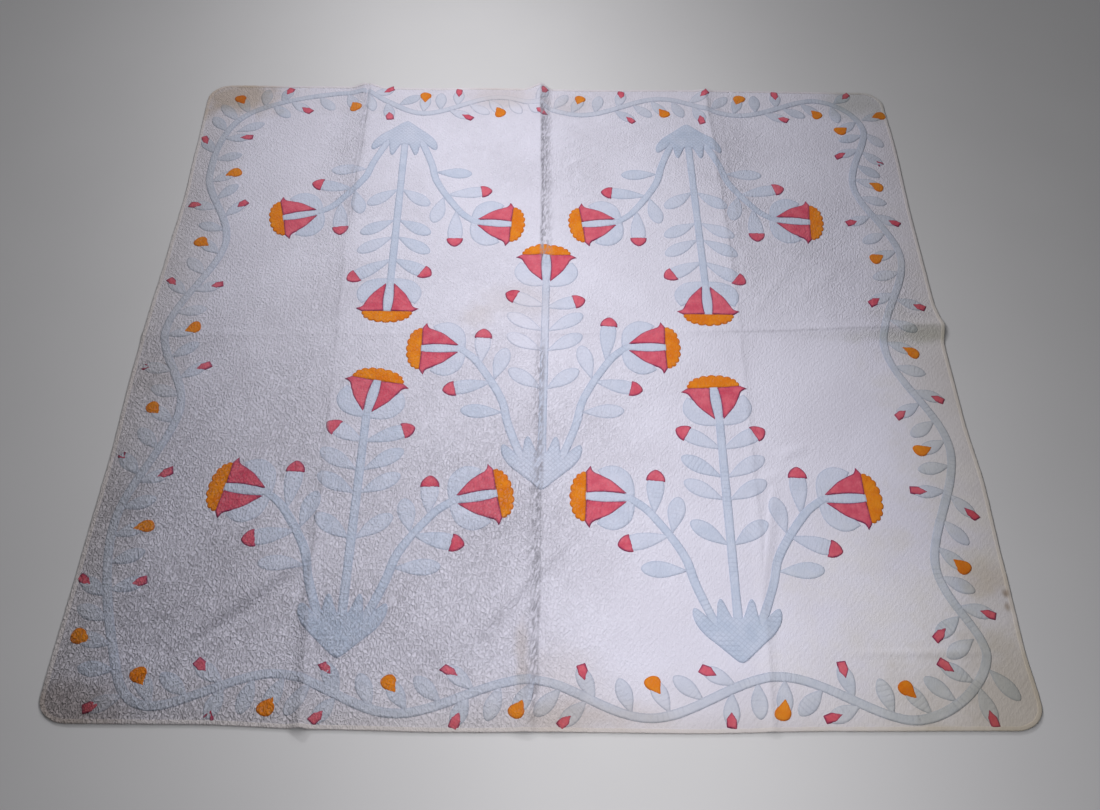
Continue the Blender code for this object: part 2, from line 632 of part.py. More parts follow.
def crown_outline():
    """The crown of a flower: a flat foot and a scalloped dome."""
    points = [(-CROWN_HALF_WIDTH, CROWN_FOOT), (CROWN_HALF_WIDTH, CROWN_FOOT)]
    for step in range(1, 2 * CROWN_SCALLOPS):
        angle = math.pi * step / (2 * CROWN_SCALLOPS)
        notch = 0 if step % 2 else SCALLOP_DEPTH / CROWN_HALF_WIDTH
        rise = (CROWN_TOP - CROWN_FOOT) * math.sin(angle) ** DOME_SQUARENESS
        points.append((CROWN_HALF_WIDTH * math.cos(angle) * (1 - notch),
                       CROWN_FOOT + rise * (1 - SCALLOP_RISE * notch)))
    return points


def flower_shapes(base, degrees):
    """Outlines of one flower: the pale parts, the two petals and the crown."""
    tongue = [(-TONGUE_HALF_WIDTH, TONGUE_FOOT), (TONGUE_HALF_WIDTH, TONGUE_FOOT),
              (TONGUE_HALF_WIDTH, CROWN_FOOT), (-TONGUE_HALF_WIDTH, CROWN_FOOT)]
    pale = [turned(shape, base, degrees) for shape in (CALYX, mirrored(CALYX), tongue)]
    petals = [turned(shape, base, degrees) for shape in (mirrored(PETAL), PETAL)]
    return pale, petals, turned(crown_outline(), base, degrees)


def make_spray(row, ground):
    """One spray: its pale blue piece, and the petals and crowns of its three flowers."""
    name, base_x, base_y, turn, top, left, right = row
    base = (base_x, base_y)

    def place(points):
        return turned(points, base, turn)

    shapes = [place(list(TUFT) + mirrored(TUFT))]
    height = top[1]
    stem = [(top[0] * part, CENTRE_STEM_START + (height - CENTRE_STEM_START) * part)
            for part in (0, 0.25, 0.5, 0.75, 1)]
    shapes += strip(place(stem), STEM_WIDTH)
    for joint, tip, reach in CENTRE_LEAVES:
        for side in (-1, 1):
            start, end = place([(top[0] * joint, height * joint),
                                (top[0] * joint + side * reach, height * tip)])
            shapes.append(leaf(start, shifted(end), LEAF_WIDTH))
    flowers = [("top", top, top[2])]
    for label, side, flower in (("left", -1, left), ("right", 1, right)):
        last = SIDE_STEM[-1]
        shift = (side * flower[0] - last[0], flower[1] - last[1])

        def bent(x, y):
            part = (y / last[1]) ** 2
            return (side * (x + shift[0] * part), y + shift[1] * part)

        shapes += strip(place([bent(x, y) for x, y in SIDE_STEM]), STEM_WIDTH)
        for joint_x, joint_y, tip_x, tip_y in SIDE_LEAVES:
            start, end = place([bent(joint_x, joint_y), bent(tip_x, tip_y)])
            shapes.append(leaf(start, shifted(end), LEAF_WIDTH))
        flowers.append((label, flower, -side * (90 - flower[2])))
    cutters = []
    for label, flower, degrees in flowers:
        spot = place([flower[:2]])[0]
        pale, petals, crown = flower_shapes(spot, degrees + turn)
        shapes += pale
        cutters += petals + [crown]
        for hand, petal in zip(("first", "second"), petals):
            make_patch(f"petal_{name}_{label}_{hand}", [inset(petal, GAP)], [], ground, RED)
        make_patch(f"crown_{name}_{label}", [inset(crown, GAP)], [], ground, ORANGE)
    make_patch(f"spray_{name}", shapes, cutters, ground, BLUE)


def vine_curve():
    """Points along the border vine, closed: a smooth curve through its crests."""
    crests = [Vector(row[:2]) for row in VINE_CRESTS]
    count = len(crests)
    points = []
    for index in range(count):
        a, b = crests[index - 1], crests[index]
        c, d = crests[(index + 1) % count], crests[(index + 2) % count]
        for step in range(VINE_STEPS):
            t = step / VINE_STEPS
            points.append(0.5 * (2 * b + (c - a) * t + (2 * a - 5 * b + 4 * c - d) * t ** 2
                                 + (3 * b - a - 3 * c + d) * t ** 3))
    return points


def vine_place(points, lengths, place):
    """Point and direction on the vine at a length along it."""
    total = lengths[-1]
    place %= total
    for index in range(len(points)):
        if lengths[index + 1] >= place:
            start, end = points[index], points[(index + 1) % len(points)]
            part = (place - lengths[index]) / (lengths[index + 1] - lengths[index])
            return start.lerp(end, part), (end - start).normalized()
    return points[0], (points[1] - points[0]).normalized()


def leaf_places(first, middle, last):
    """Leaves of one crest, up to five, as place along the vine and angle. Two lie halfway."""
    between = [tuple((a + b) / 2 for a, b in zip(middle, end)) if end else None for end in (first, last)]
    return [leaf for leaf in (first, between[0], middle, between[1], last) if leaf]


def make_vine(ground):
    """The border vine with its leaves, as one piece that goes all the way round."""
    points = vine_curve()
    lengths = [0.0]
    for index, point in enumerate(points):
        lengths.append(lengths[-1] + (points[(index + 1) % len(points)] - point).length)
    looped = points[-1:] + points + points[:2]
    shapes = strip(looped, VINE_WIDTH)[1:-1]
    for crest, row in enumerate(VINE_CRESTS):
        for offset, angle in leaf_places(*row[3:]):
            joint, along = vine_place(points, lengths, lengths[crest * VINE_STEPS] + offset)
            way = math.radians(-row[2] * angle)
            tip = joint + VINE_LEAF_LENGTH * Vector((along.x * math.cos(way) - along.y * math.sin(way),
                                                     along.x * math.sin(way) + along.y * math.cos(way)))
            shapes.append(leaf(joint, tip, VINE_LEAF_WIDTH))
    for row in CORNER_LEAVES:
        shapes.append(leaf(Vector(row[0:2]), Vector(row[2:4]), VINE_LEAF_WIDTH))
    make_patch("border_vine", shapes, [], ground, BLUE)


def main():
    for thing in list(bpy.data.objects):
        bpy.data.objects.remove(thing)
    edge, starts = outline()
    ground = make_ground(edge, starts)
    make_binding(edge)
    make_vine(ground)
    for row in SPRAYS:
        make_spray(row, ground)
    total = 0
    for piece in bpy.data.objects:
        triangles = sum(len(polygon.vertices) - 2 for polygon in piece.data.polygons)
        total += triangles
        print(piece.name, triangles)
    print("triangles in all", total)


main()
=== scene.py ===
# %% [markdown]
# # A hand-quilted cover with appliqué flowers, spread out flat
#
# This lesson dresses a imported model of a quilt. The frame holds the plain solids: the
# quilted ground, its binding, the border vine, five sprays, and the petals and crowns of
# their flowers. Here each one gets the finer form of sewn cloth. A quilt could be one
# displaced plane with a painted pattern, but appliqué is real cloth laid on cloth, so
# every leaf, stem and petal is its own patch with a turned-under edge.

# %% Load the frame
import math

import bpy
import numpy as np
from mathutils import Matrix, Vector
from mathutils.geometry import delaunay_2d_cdt


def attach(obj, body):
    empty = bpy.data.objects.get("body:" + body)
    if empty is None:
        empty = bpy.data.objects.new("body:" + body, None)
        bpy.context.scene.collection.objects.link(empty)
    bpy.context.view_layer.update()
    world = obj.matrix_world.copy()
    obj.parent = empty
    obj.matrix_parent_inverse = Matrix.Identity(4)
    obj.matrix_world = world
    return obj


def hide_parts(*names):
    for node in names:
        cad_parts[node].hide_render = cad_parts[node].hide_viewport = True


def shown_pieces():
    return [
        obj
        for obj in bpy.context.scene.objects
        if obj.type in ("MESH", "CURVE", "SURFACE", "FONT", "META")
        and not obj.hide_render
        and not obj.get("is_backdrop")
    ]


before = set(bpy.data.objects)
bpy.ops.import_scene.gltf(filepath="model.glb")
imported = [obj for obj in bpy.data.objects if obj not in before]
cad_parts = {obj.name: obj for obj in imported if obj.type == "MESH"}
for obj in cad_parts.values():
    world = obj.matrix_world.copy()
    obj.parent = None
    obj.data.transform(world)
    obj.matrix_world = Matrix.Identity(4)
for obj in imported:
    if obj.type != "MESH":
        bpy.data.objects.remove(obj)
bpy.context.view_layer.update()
print("nodes in the frame:", len(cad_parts))


def put(name, data):
    """Makes an object that holds some data, and puts it in the scene."""
    thing = bpy.data.objects.new(name, data)
    bpy.context.scene.collection.objects.link(thing)
    return thing

# %% [markdown]
# ## Camera
#
# The picture looks down on the quilt from its near side. The eye's place, its three
# angles and the lens follow from the four corners of the quilt, whose real size is known.
# An empty with a Track To constraint could aim the camera too, but it leaves no roll,
# so the three axes are written out.

# %% Camera
LENS = 34.152
SENSOR = 36.0
EYE = Vector((-0.0072, -1.6096, 2.0985))
LOOK_DOWN = math.radians(55.846)
LOOK_ASIDE = math.radians(-0.754)
ROLL = math.radians(-1.185)

turn = Matrix.Rotation(LOOK_ASIDE, 3, "Z")
ahead = turn @ Vector((0, math.cos(LOOK_DOWN), -math.sin(LOOK_DOWN)))
level = turn @ Vector((1, 0, 0))
below = ahead.cross(level)
right = math.cos(ROLL) * level + math.sin(ROLL) * below
down = math.cos(ROLL) * below - math.sin(ROLL) * level
camera_data = bpy.data.cameras.new("camera")
camera_data.lens = LENS
camera_data.sensor_width = SENSOR
camera = put("camera", camera_data)
camera.matrix_world = Matrix((right, -down, -ahead)).transposed().to_4x4()
camera.location = EYE
bpy.context.scene.camera = camera
print("camera at", [round(value, 3) for value in EYE])

# %% [markdown]
# ## Node helpers
#
# Materials and Geometry Nodes trees are both graphs, so one small helper can build either:
# it adds a node, sets its options and fills its inputs. An input that is given a socket
# becomes a link, and anything else becomes its value.

# %% Node helpers
# Length of a wave of the wave texture at scale 1
WAVE_UNIT = 0.314


def add(tree, kind, inputs=None, **options):
    """Adds a node. Inputs are given by name or number, as values or as sockets to link."""
    made = tree.nodes.new(kind)
    for name, value in options.items():
        setattr(made, name, value)
    for name, value in (inputs or {}).items():
        if isinstance(value, bpy.types.NodeSocket):
            tree.links.new(value, made.inputs[name])
        else:
            made.inputs[name].default_value = value
    return made


def maths(tree, operation, first, second=0.0, clamp=False):
    """One sum, such as ADD or MULTIPLY, of two numbers or sockets."""
    made = add(tree, "ShaderNodeMath", {0: first, 1: second}, operation=operation, use_clamp=clamp)
    return made.outputs[0]


def spread(tree, value, low, high, out_low=0.0, out_high=1.0):
    """Maps low..high to out_low..out_high, with soft ends."""
    made = add(tree, "ShaderNodeMapRange", {0: value, 1: low, 2: high, 3: out_low, 4: out_high},
               interpolation_type="SMOOTHSTEP")
    return made.outputs[0]


def blend(tree, share, first, second):
    """A colour between two, each a colour or a socket."""
    return add(tree, "ShaderNodeMix", {0: share, 6: first, 7: second}, data_type="RGBA").outputs[2]


def mottle(tree, place, scale, detail=2.0, roughness=0.5, output=0):
    """Soft noise, from 0 to 1. Output 1 gives it as a colour."""
    inputs = {"Vector": place, "Scale": scale, "Detail": detail, "Roughness": roughness}
    return add(tree, "ShaderNodeTexNoise", inputs).outputs[output]


def waves(tree, place, pitch, way="X", **more):
    """Even waves from 0 to 1, one a pitch."""
    inputs = {"Vector": place, "Scale": WAVE_UNIT / pitch, **more}
    return add(tree, "ShaderNodeTexWave", inputs, bands_direction=way).outputs[1]


def vector_maths(tree, operation, inputs):
    """One sum, such as ADD or SCALE, of vectors."""
    return add(tree, "ShaderNodeVectorMath", inputs, operation=operation).outputs[0]


def colour(red, green, blue):
    return (red, green, blue, 1.0)

# %% [markdown]
# ## Floor and light
#
# Wrinkles in white cloth show only through light and shade. A long low lamp above the middle,
# turned a little, gives the bright band from the far left to the near right. Its light falls
# outwards from there, so it rakes over the wrinkles at the sides. A weak sun from the far side
# picks out the crease that runs across, and a pale sky fills the rest.

# %% Floor and light
FLOOR_SIDE = 14.0
FLOOR_DROP = 0.0002
LAMP_PLACE = (-0.05, 0.12, 1.05)
LAMP_SIZE = (0.30, 3.80)
LAMP_TURN = math.radians(11)
LAMP_POWER = 22.1
SUN_STRENGTH = 0.60
SUN_SIZE = math.radians(6)
SUN_FROM = Vector((-0.35, 0.80, 0.45))
SKY_LIGHT = 0.11
LIGHT_COLOUR = (1.0, 0.985, 1.0)
FLOOR_DARK = colour(0.62, 0.62, 0.63)
FLOOR_PALE = colour(0.66, 0.66, 0.67)
FLOOR_MOTTLE = 3.0


def pale_floor():
    mesh = bpy.data.meshes.new("floor")
    half = FLOOR_SIDE / 2
    corners = [(x * half, y * half, -FLOOR_DROP) for x, y in ((-1, -1), (1, -1), (1, 1), (-1, 1))]
    mesh.from_pydata(corners, [], [(0, 1, 2, 3)])
    material = bpy.data.materials.new("floor")
    material.use_nodes = True
    tree = material.node_tree
    place = add(tree, "ShaderNodeTexCoord").outputs["Object"]
    tone = blend(tree, mottle(tree, place, FLOOR_MOTTLE), FLOOR_DARK, FLOOR_PALE)
    shader = tree.nodes["Principled BSDF"]
    tree.links.new(tone, shader.inputs["Base Color"])
    shader.inputs["Roughness"].default_value = 0.85
    mesh.materials.append(material)
    floor = put("floor", mesh)
    floor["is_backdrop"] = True


def light(name, kind, energy, **options):
    data = bpy.data.lights.new(name, kind)
    data.energy = energy
    data.color = LIGHT_COLOUR
    for option, value in options.items():
        setattr(data, option, value)
    return put(name, data)


pale_floor()
lamp = light("lamp", "AREA", LAMP_POWER, shape="RECTANGLE", size=LAMP_SIZE[0], size_y=LAMP_SIZE[1])
lamp.location = LAMP_PLACE
lamp.rotation_euler.z = LAMP_TURN
sun = light("sun", "SUN", SUN_STRENGTH, angle=SUN_SIZE)
sun.rotation_euler = SUN_FROM.to_track_quat("Z", "Y").to_euler()
world = bpy.data.worlds.new("sky")
world.use_nodes = True
world.node_tree.nodes["Background"].inputs["Color"].default_value = colour(1.0, 1.0, 1.0)
world.node_tree.nodes["Background"].inputs["Strength"].default_value = SKY_LIGHT
bpy.context.scene.world = world
bpy.context.scene.view_settings.view_transform = "Standard"

# %% [markdown]
# ## The outline of the quilt
#
# A hand-sewn quilt is never a true rectangle. Each side bulges in and out by a few
# millimetres, and the corners are rounded. A table for each side says how far it bulges at
# some places, eased between them. From the tables come both the distance of any point from
# the edge and the closed path that the binding follows.

# %% Outline
WIDTH = 2.03
LENGTH = 1.95
CORNER_RADIUS = 0.060
THICKNESS = 0.0045
# Place along the side, bulge outwards
BOTTOM_EDGE = ((-0.95, -0.006), (-0.70, -0.006), (-0.45, 0.002), (-0.20, 0.006),
               (0.05, 0.004), (0.30, 0.005), (0.60, -0.002), (0.95, -0.005))
RIGHT_EDGE = ((-0.91, 0.003), (-0.80, -0.002), (-0.60, 0.001), (-0.40, 0.005), (-0.22, -0.003),
              (0.00, -0.003), (0.068, 0.007), (0.16, -0.002), (0.45, -0.002), (0.75, 0.004), (0.91, 0.001))
TOP_EDGE = ((-0.95, 0.001), (-0.60, 0.003), (-0.35, -0.001), (-0.20, 0.004), (0.10, 0.001),
            (0.45, 0.006), (0.95, 0.002))
LEFT_EDGE = ((-0.91, 0.004), (-0.60, 0.001), (-0.35, -0.001), (-0.10, 0.004), (0.05, 0.004),
             (0.30, -0.001), (0.50, -0.004), (0.70, 0.001), (0.91, 0.007))


def smooth(part):
    """A share from 0 to 1, with soft ends."""
    return part * part * (3 - 2 * part)


def eased(table, place):
    """Value at places along a table of places and values, eased between its rows."""
    rows = np.array(table)
    place = np.clip(place, rows[0, 0], rows[-1, 0])
    low = np.clip(np.searchsorted(rows[:, 0], place, side="right") - 1, 0, len(rows) - 2)
    part = smooth((place - rows[low, 0]) / (rows[low + 1, 0] - rows[low, 0]))
    return rows[low, 1] * (1 - part) + rows[low + 1, 1] * part


def from_edge(x, y):
    """Distance of points from the edge of the quilt, above zero inside it."""
    half_x = WIDTH / 2 + np.where(x > 0, eased(RIGHT_EDGE, y), eased(LEFT_EDGE, y))
    half_y = LENGTH / 2 + np.where(y > 0, eased(TOP_EDGE, x), eased(BOTTOM_EDGE, x))
    past_x = np.abs(x) - half_x + CORNER_RADIUS
    past_y = np.abs(y) - half_y + CORNER_RADIUS
    outside = np.hypot(np.maximum(past_x, 0), np.maximum(past_y, 0))
    return CORNER_RADIUS - outside - np.minimum(np.maximum(past_x, past_y), 0)


def edge_path(step):
    """Closed path round the quilt, anticlockwise, with a point about every step."""
    run_x, run_y = WIDTH / 2 - CORNER_RADIUS, LENGTH / 2 - CORNER_RADIUS
    along_x = np.linspace(-run_x, run_x, round(2 * run_x / step))
    along_y = np.linspace(-run_y, run_y, round(2 * run_y / step))
    quarter = np.linspace(0, math.pi / 2, round(CORNER_RADIUS * math.pi / 2 / step) + 2)[1:-1]
    path = []
    corners = ((1, -1, RIGHT_EDGE, BOTTOM_EDGE), (1, 1, RIGHT_EDGE, TOP_EDGE),
               (-1, 1, LEFT_EDGE, TOP_EDGE), (-1, -1, LEFT_EDGE, BOTTOM_EDGE))
    sides = (
        np.stack([along_x, -LENGTH / 2 - eased(BOTTOM_EDGE, along_x)], 1),
        np.stack([WIDTH / 2 + eased(RIGHT_EDGE, along_y), along_y], 1),
        np.stack([along_x, LENGTH / 2 + eased(TOP_EDGE, along_x)], 1)[::-1],
        np.stack([-WIDTH / 2 - eased(LEFT_EDGE, along_y), along_y], 1)[::-1],
    )
    for index, (side, (way_x, way_y, upright, flat)) in enumerate(zip(sides, corners)):
        path.append(side)
        angle = quarter + (index - 1) * math.pi / 2
        reach_x = CORNER_RADIUS + eased(upright, way_y * run_y)
        reach_y = CORNER_RADIUS + eased(flat, way_x * run_x)
        corner_x = way_x * run_x + reach_x * np.cos(angle)
        corner_y = way_y * run_y + reach_y * np.sin(angle)
        path.append(np.stack([corner_x, corner_y], 1))
    return np.concatenate(path)


rim = edge_path(0.02)
print("the outline spans", (rim.max(0) - rim.min(0)).round(3), "m")

# %% [markdown]
# ## Creases and soft folds
#
# The quilt was stored folded in eight, so straight creases cross it: one down the middle,
# one at each quarter and one across. Each is a ridge whose crest wanders a little, high at
# the edge where the cloth is free to stand up. A Blender cloth simulation would not keep
# such set creases, so they are listed instead, a table of rows for each ridge.

# %% Creases
# Each row: place along the crease, place of the crest across it, height, reach to each side
CENTRE_TOP = ((-0.05, -0.012, 0.0000, 0.026, 0.022), (0.10, -0.012, 0.0035, 0.026, 0.022),
              (0.35, -0.013, 0.0050, 0.028, 0.024), (0.55, -0.013, 0.0080, 0.034, 0.024),
              (0.80, -0.018, 0.0150, 0.046, 0.028), (0.975, -0.022, 0.0240, 0.052, 0.034))
CENTRE_LOW = ((-0.975, -0.034, 0.0050, 0.040, 0.026), (-0.75, -0.032, 0.0045, 0.040, 0.025),
              (-0.20, -0.026, 0.0045, 0.036, 0.022), (0.02, -0.024, 0.0000, 0.036, 0.022))
CENTRE_LOW_FAR = ((-0.975, 0.020, 0.0026, 0.026, 0.060), (-0.60, 0.018, 0.0022, 0.024, 0.060),
                  (-0.20, 0.014, 0.0016, 0.020, 0.050), (0.02, 0.012, 0.0000, 0.020, 0.040))
LEFT_NEAR = ((-0.975, -0.487, 0.0120, 0.024, 0.022), (-0.62, -0.512, 0.0075, 0.020, 0.018),
             (-0.35, -0.515, 0.0030, 0.030, 0.014), (0.10, -0.537, 0.0013, 0.020, 0.016),
             (0.35, -0.546, 0.0018, 0.020, 0.016), (0.47, -0.554, 0.0026, 0.034, 0.012),
             (0.80, -0.553, 0.0050, 0.056, 0.014), (0.975, -0.551, 0.0165, 0.044, 0.016))
LEFT_FAR = ((0.30, -0.540, 0.0000, 0.014, 0.020), (0.47, -0.541, 0.0032, 0.012, 0.028),
            (0.80, -0.540, 0.0060, 0.014, 0.036), (0.975, -0.537, 0.0165, 0.016, 0.042))
RIGHT_CREASE = ((-0.975, 0.464, 0.0035, 0.024, 0.018), (-0.57, 0.482, 0.0022, 0.022, 0.018),
                (0.10, 0.498, 0.0018, 0.022, 0.018), (0.60, 0.490, 0.0030, 0.026, 0.020),
                (0.975, 0.479, 0.0060, 0.032, 0.026))
CROSS_CREASE = ((-1.015, 0.012, 0.0026, 0.030, 0.026), (-0.54, 0.020, 0.0014, 0.024, 0.022),
                (0.00, 0.030, 0.0016, 0.020, 0.018), (0.50, 0.045, 0.0022, 0.024, 0.018),
                (0.80, 0.060, 0.0052, 0.038, 0.024), (1.015, 0.068, 0.0095, 0.046, 0.030))
CREASES = (CENTRE_TOP, CENTRE_LOW, CENTRE_LOW_FAR, LEFT_NEAR, LEFT_FAR, RIGHT_CREASE, CROSS_CREASE)
print("points in the creases' tables:", [len(crease) for crease in CREASES])

# %% Soft folds
# Start x, start y, end x, end y, height, reach on the left hand and on the right hand
SOFT_FOLDS = (
    (-0.500, -0.570, -0.795, -0.825, 0.0130, 0.030, 0.066),
    (-0.600, -0.455, -0.735, -0.580, 0.0040, 0.018, 0.030),
    (0.060, -0.545, -0.175, -0.805, 0.0085, 0.028, 0.058),
    (-0.600, -0.740, -0.880, -0.900, 0.0045, 0.024, 0.040),
    (-0.545, 0.010, -0.600, -0.065, 0.0032, 0.016, 0.028),
    (-0.755, -0.110, -0.795, -0.270, 0.0030, 0.020, 0.032),
    (0.545, -0.330, 0.620, -0.300, 0.0034, 0.020, 0.024),
    (0.440, -0.420, 0.560, -0.370, 0.0024, 0.018, 0.028),
    (0.532, -0.400, 0.458, -0.770, 0.0036, 0.022, 0.014),
    (0.640, -0.810, 0.960, -0.806, 0.0024, 0.014, 0.014),
    (0.520, 0.080, 0.690, 0.330, 0.0014, 0.036, 0.024),
    (0.590, 0.090, 0.860, 0.340, 0.0012, 0.036, 0.026),
    (0.020, 0.500, 0.100, 0.575, 0.0018, 0.012, 0.018),
    (0.025, 0.610, 0.115, 0.690, 0.0020, 0.012, 0.020),
    (0.030, 0.710, 0.120, 0.775, 0.0022, 0.012, 0.020),
    (0.035, 0.800, 0.130, 0.850, 0.0018, 0.012, 0.018),
)
print(len(SOFT_FOLDS), "soft folds, the highest", max(row[4] for row in SOFT_FOLDS) * 1000, "mm")

# %% Smooth noise
NOISE_CELLS = 256
# Seeds of the noises and of the draws, so that each has waves or values of its own
SEED = {"check": 1, "crest": 3, "rows": 5, "net": 7, "slanted net": 8, "slant": 9, "uneven": 11, "waves": 12,
        "swell": 13, "fold shade and dust": 15, "band": 21, "border": 31, "spray": 41}


def noise(x, y, pitch_x, pitch_y, seed, lean=0.0):
    """Smooth random waves from -1 to 1, about one a pitch, with their long side leaning."""
    cells = np.random.default_rng(seed).uniform(-1, 1, (NOISE_CELLS, NOISE_CELLS))
    u = (x * math.cos(lean) + y * math.sin(lean)) / pitch_x
    v = (y * math.cos(lean) - x * math.sin(lean)) / pitch_y
    column, row = np.floor(u).astype(int), np.floor(v).astype(int)
    part_u, part_v = smooth(u - column), smooth(v - row)
    left, right = column % NOISE_CELLS, (column + 1) % NOISE_CELLS
    near, far = (cells[left, line % NOISE_CELLS] * (1 - part_u) + cells[right, line % NOISE_CELLS] * part_u
                 for line in (row, row + 1))
    return near * (1 - part_v) + far * part_v


def uneven(x, y, level, swing, pitch, seed):
    """Waves that swing about a level."""
    return level + swing * noise(x, y, pitch, pitch, seed)


SPOTS = np.random.default_rng(SEED["check"]).uniform(-0.9, 0.9, (2, 2000))
tried = noise(*SPOTS, 0.1, 0.1, SEED["check"])
print("the noise runs from", tried.min().round(2), "to", tried.max().round(2))

# %% Ridges
CREST_SHARPNESS = 1.4
CREST_ROUNDNESS = 0.06
CREST_WANDER = 0.0022
CREST_PITCH = 0.055


def off_crest(crease, x, y):
    """Place along a crease, and distance across it from its crest, which strays a little."""
    along, across = (x, y) if crease is CROSS_CREASE else (y, x)
    crest = np.interp(along, [row[0] for row in crease], [row[1] for row in crease])
    return along, across - crest - uneven(x, y, 0, CREST_WANDER, CREST_PITCH, SEED["crest"])


def ridge(crease, x, y):
    """Height of one crease: sharp at its crest, easing out to its two feet."""
    along, offset = off_crest(crease, x, y)
    rows = np.array(crease)
    height, below, above = (np.interp(along, rows[:, 0], column) for column in rows.T[2:])
    height = np.where((along < rows[0, 0]) & (rows[0, 2] == 0), 0, height)
    reach = np.where(offset < 0, below, above)
    part = np.hypot(offset / reach, CREST_ROUNDNESS) - CREST_ROUNDNESS
    return height * np.clip(1 - part, 0, 1) ** CREST_SHARPNESS


print("the ridge down the middle is", (ridge(CENTRE_TOP, *SPOTS).max() * 1000).round(1), "mm high")

# %% Lift of the cloth
BULGE_FULLNESS = 0.6


def beside(x, y, start_x, start_y, end_x, end_y):
    """Share of the way along a straight run that is nearest to each point, and how far off it is."""
    run_x, run_y = end_x - start_x, end_y - start_y
    part = np.clip(((x - start_x) * run_x + (y - start_y) * run_y) / (run_x ** 2 + run_y ** 2), 0, 1)
    return part, np.hypot(x - start_x - part * run_x, y - start_y - part * run_y)


def bulge(part):
    """Share of its full height that a soft fold has along its run: none at both ends."""
    return np.sin(math.pi * part) ** BULGE_FULLNESS


def lift(x, y):
    """Height of the underside over the floor: zero but under creases and folds."""
    total = np.zeros_like(x)
    for crease in CREASES:
        total = np.maximum(total, ridge(crease, x, y))
    for start_x, start_y, end_x, end_y, height, left_reach, right_reach in SOFT_FOLDS:
        on_left = (end_x - start_x) * (y - start_y) > (end_y - start_y) * (x - start_x)
        reach = np.where(on_left, left_reach, right_reach)
        part, distance = beside(x, y, start_x, start_y, end_x, end_y)
        near = np.clip(1 - distance / reach, 0, 1)
        total = np.maximum(total, height * bulge(part) * smooth(near))
    return total


print("the highest crease lifts the cloth", round(float(lift(rim[:, 0], rim[:, 1]).max()) * 1000, 1), "mm")

# %% [markdown]
# ## Relief of the quilting
#
# Rows of small stitches, about 13 mm apart and crossed into diamonds, pull the layers
# together, and the filling puffs up between them. After many washes the cotton has shrunk,
# so wrinkles join up into a net. The larger waves are in the mesh, because they catch the
# light on real slopes. Waves under 10 mm are left to the bump of the cloth's finish.

# %% Where the cloth is wrinkled
# Place across or along, strength of the wrinkles there
WRINKLED_ACROSS = ((-1.0, 1.20), (-0.75, 1.05), (-0.45, 0.90), (-0.1, 0.85), (0.1, 0.75), (0.4, 0.55),
                   (1.0, 0.47))
WRINKLED_ALONG = ((-0.95, 1.25), (-0.6, 1.15), (-0.1, 0.85), (0.3, 0.60), (0.95, 0.55))
# The smooth near right: x less y where it starts and ends, strength left there
CALM = (0.40, 1.20, 0.30)
# Places beside the creases that are more wrinkled: x, y, reach in x, reach in y, how much more
RUFFLED = ((0.070, 0.720, 0.100, 0.300, 0.12), (-0.120, -0.680, 0.110, 0.350, 0.15),
           (-0.580, 0.600, 0.060, 0.450, 0.30), (0.540, 0.600, 0.060, 0.450, 0.30),
           (0.900, 0.100, 0.100, 0.120, 0.40), (0.730, 0.320, 0.200, 0.220, 0.36),
           (0.500, 0.720, 0.500, 0.350, 0.24))
# Level, swing and pitch of the waves that make the wrinkles uneven
UNEVEN = (0.97, 0.12, 0.12)


def soft_spots(rows, x, y):
    """Sum of soft spots. Each row: x, y, reach in x, reach in y, share."""
    return sum(share * np.exp(-((x - middle_x) / reach_x) ** 2 - ((y - middle_y) / reach_y) ** 2)
               for middle_x, middle_y, reach_x, reach_y, share in rows)


def wrinkled(x, y):
    """How strongly the cloth is wrinkled: most at the near left, least at the near right."""
    strength = np.interp(x, *zip(*WRINKLED_ACROSS)) * np.interp(y, *zip(*WRINKLED_ALONG))
    strength = strength * np.interp(x - y, CALM[:2], (1.0, CALM[2])) + soft_spots(RUFFLED, x, y)
    return strength * uneven(x, y, *UNEVEN, SEED["uneven"])


tried = wrinkled(*SPOTS)
print("wrinkles from", tried.min().round(2), "to", tried.max().round(2))

# %% Quilting
ROW_PITCH = 0.0127
ROW_DEPTH = 0.0009
ROW_PUFF = 0.65
# How far the rows stray from their straight runs, and the pitch of that
ROW_WANDER = (0.006, 0.09)
# Share of their depth that the rows have on smooth cloth, and what wrinkles add
ROW_SHARES = (0.3, 0.6)
WRINKLE_DEPTH = 0.0007
WRINKLE_PITCH = (0.0105, 0.019)
NET_WIDTH = 0.55
WRINKLE_LEAN = math.radians(-9)
SLANT_LEAN = math.radians(-34)
# The share of the second net: level, swing and pitch, then the most that it takes
SLANTED = (0.35, 0.9, 0.16)
MOST_SLANTED = 0.55
WAVE_DEPTH = 0.0009
WAVE_PITCH = (0.027, 0.045)
SWELL_DEPTH = 0.0008
SWELL_PITCH = 0.160
MOST_WRINKLED = 1.25


def net(x, y, seed, lean):
    """Thin ridges from 0 to 1 that join up into a net."""
    return np.clip(1 - np.abs(noise(x, y, *WRINKLE_PITCH, seed, lean)) / NET_WIDTH, 0, 1)


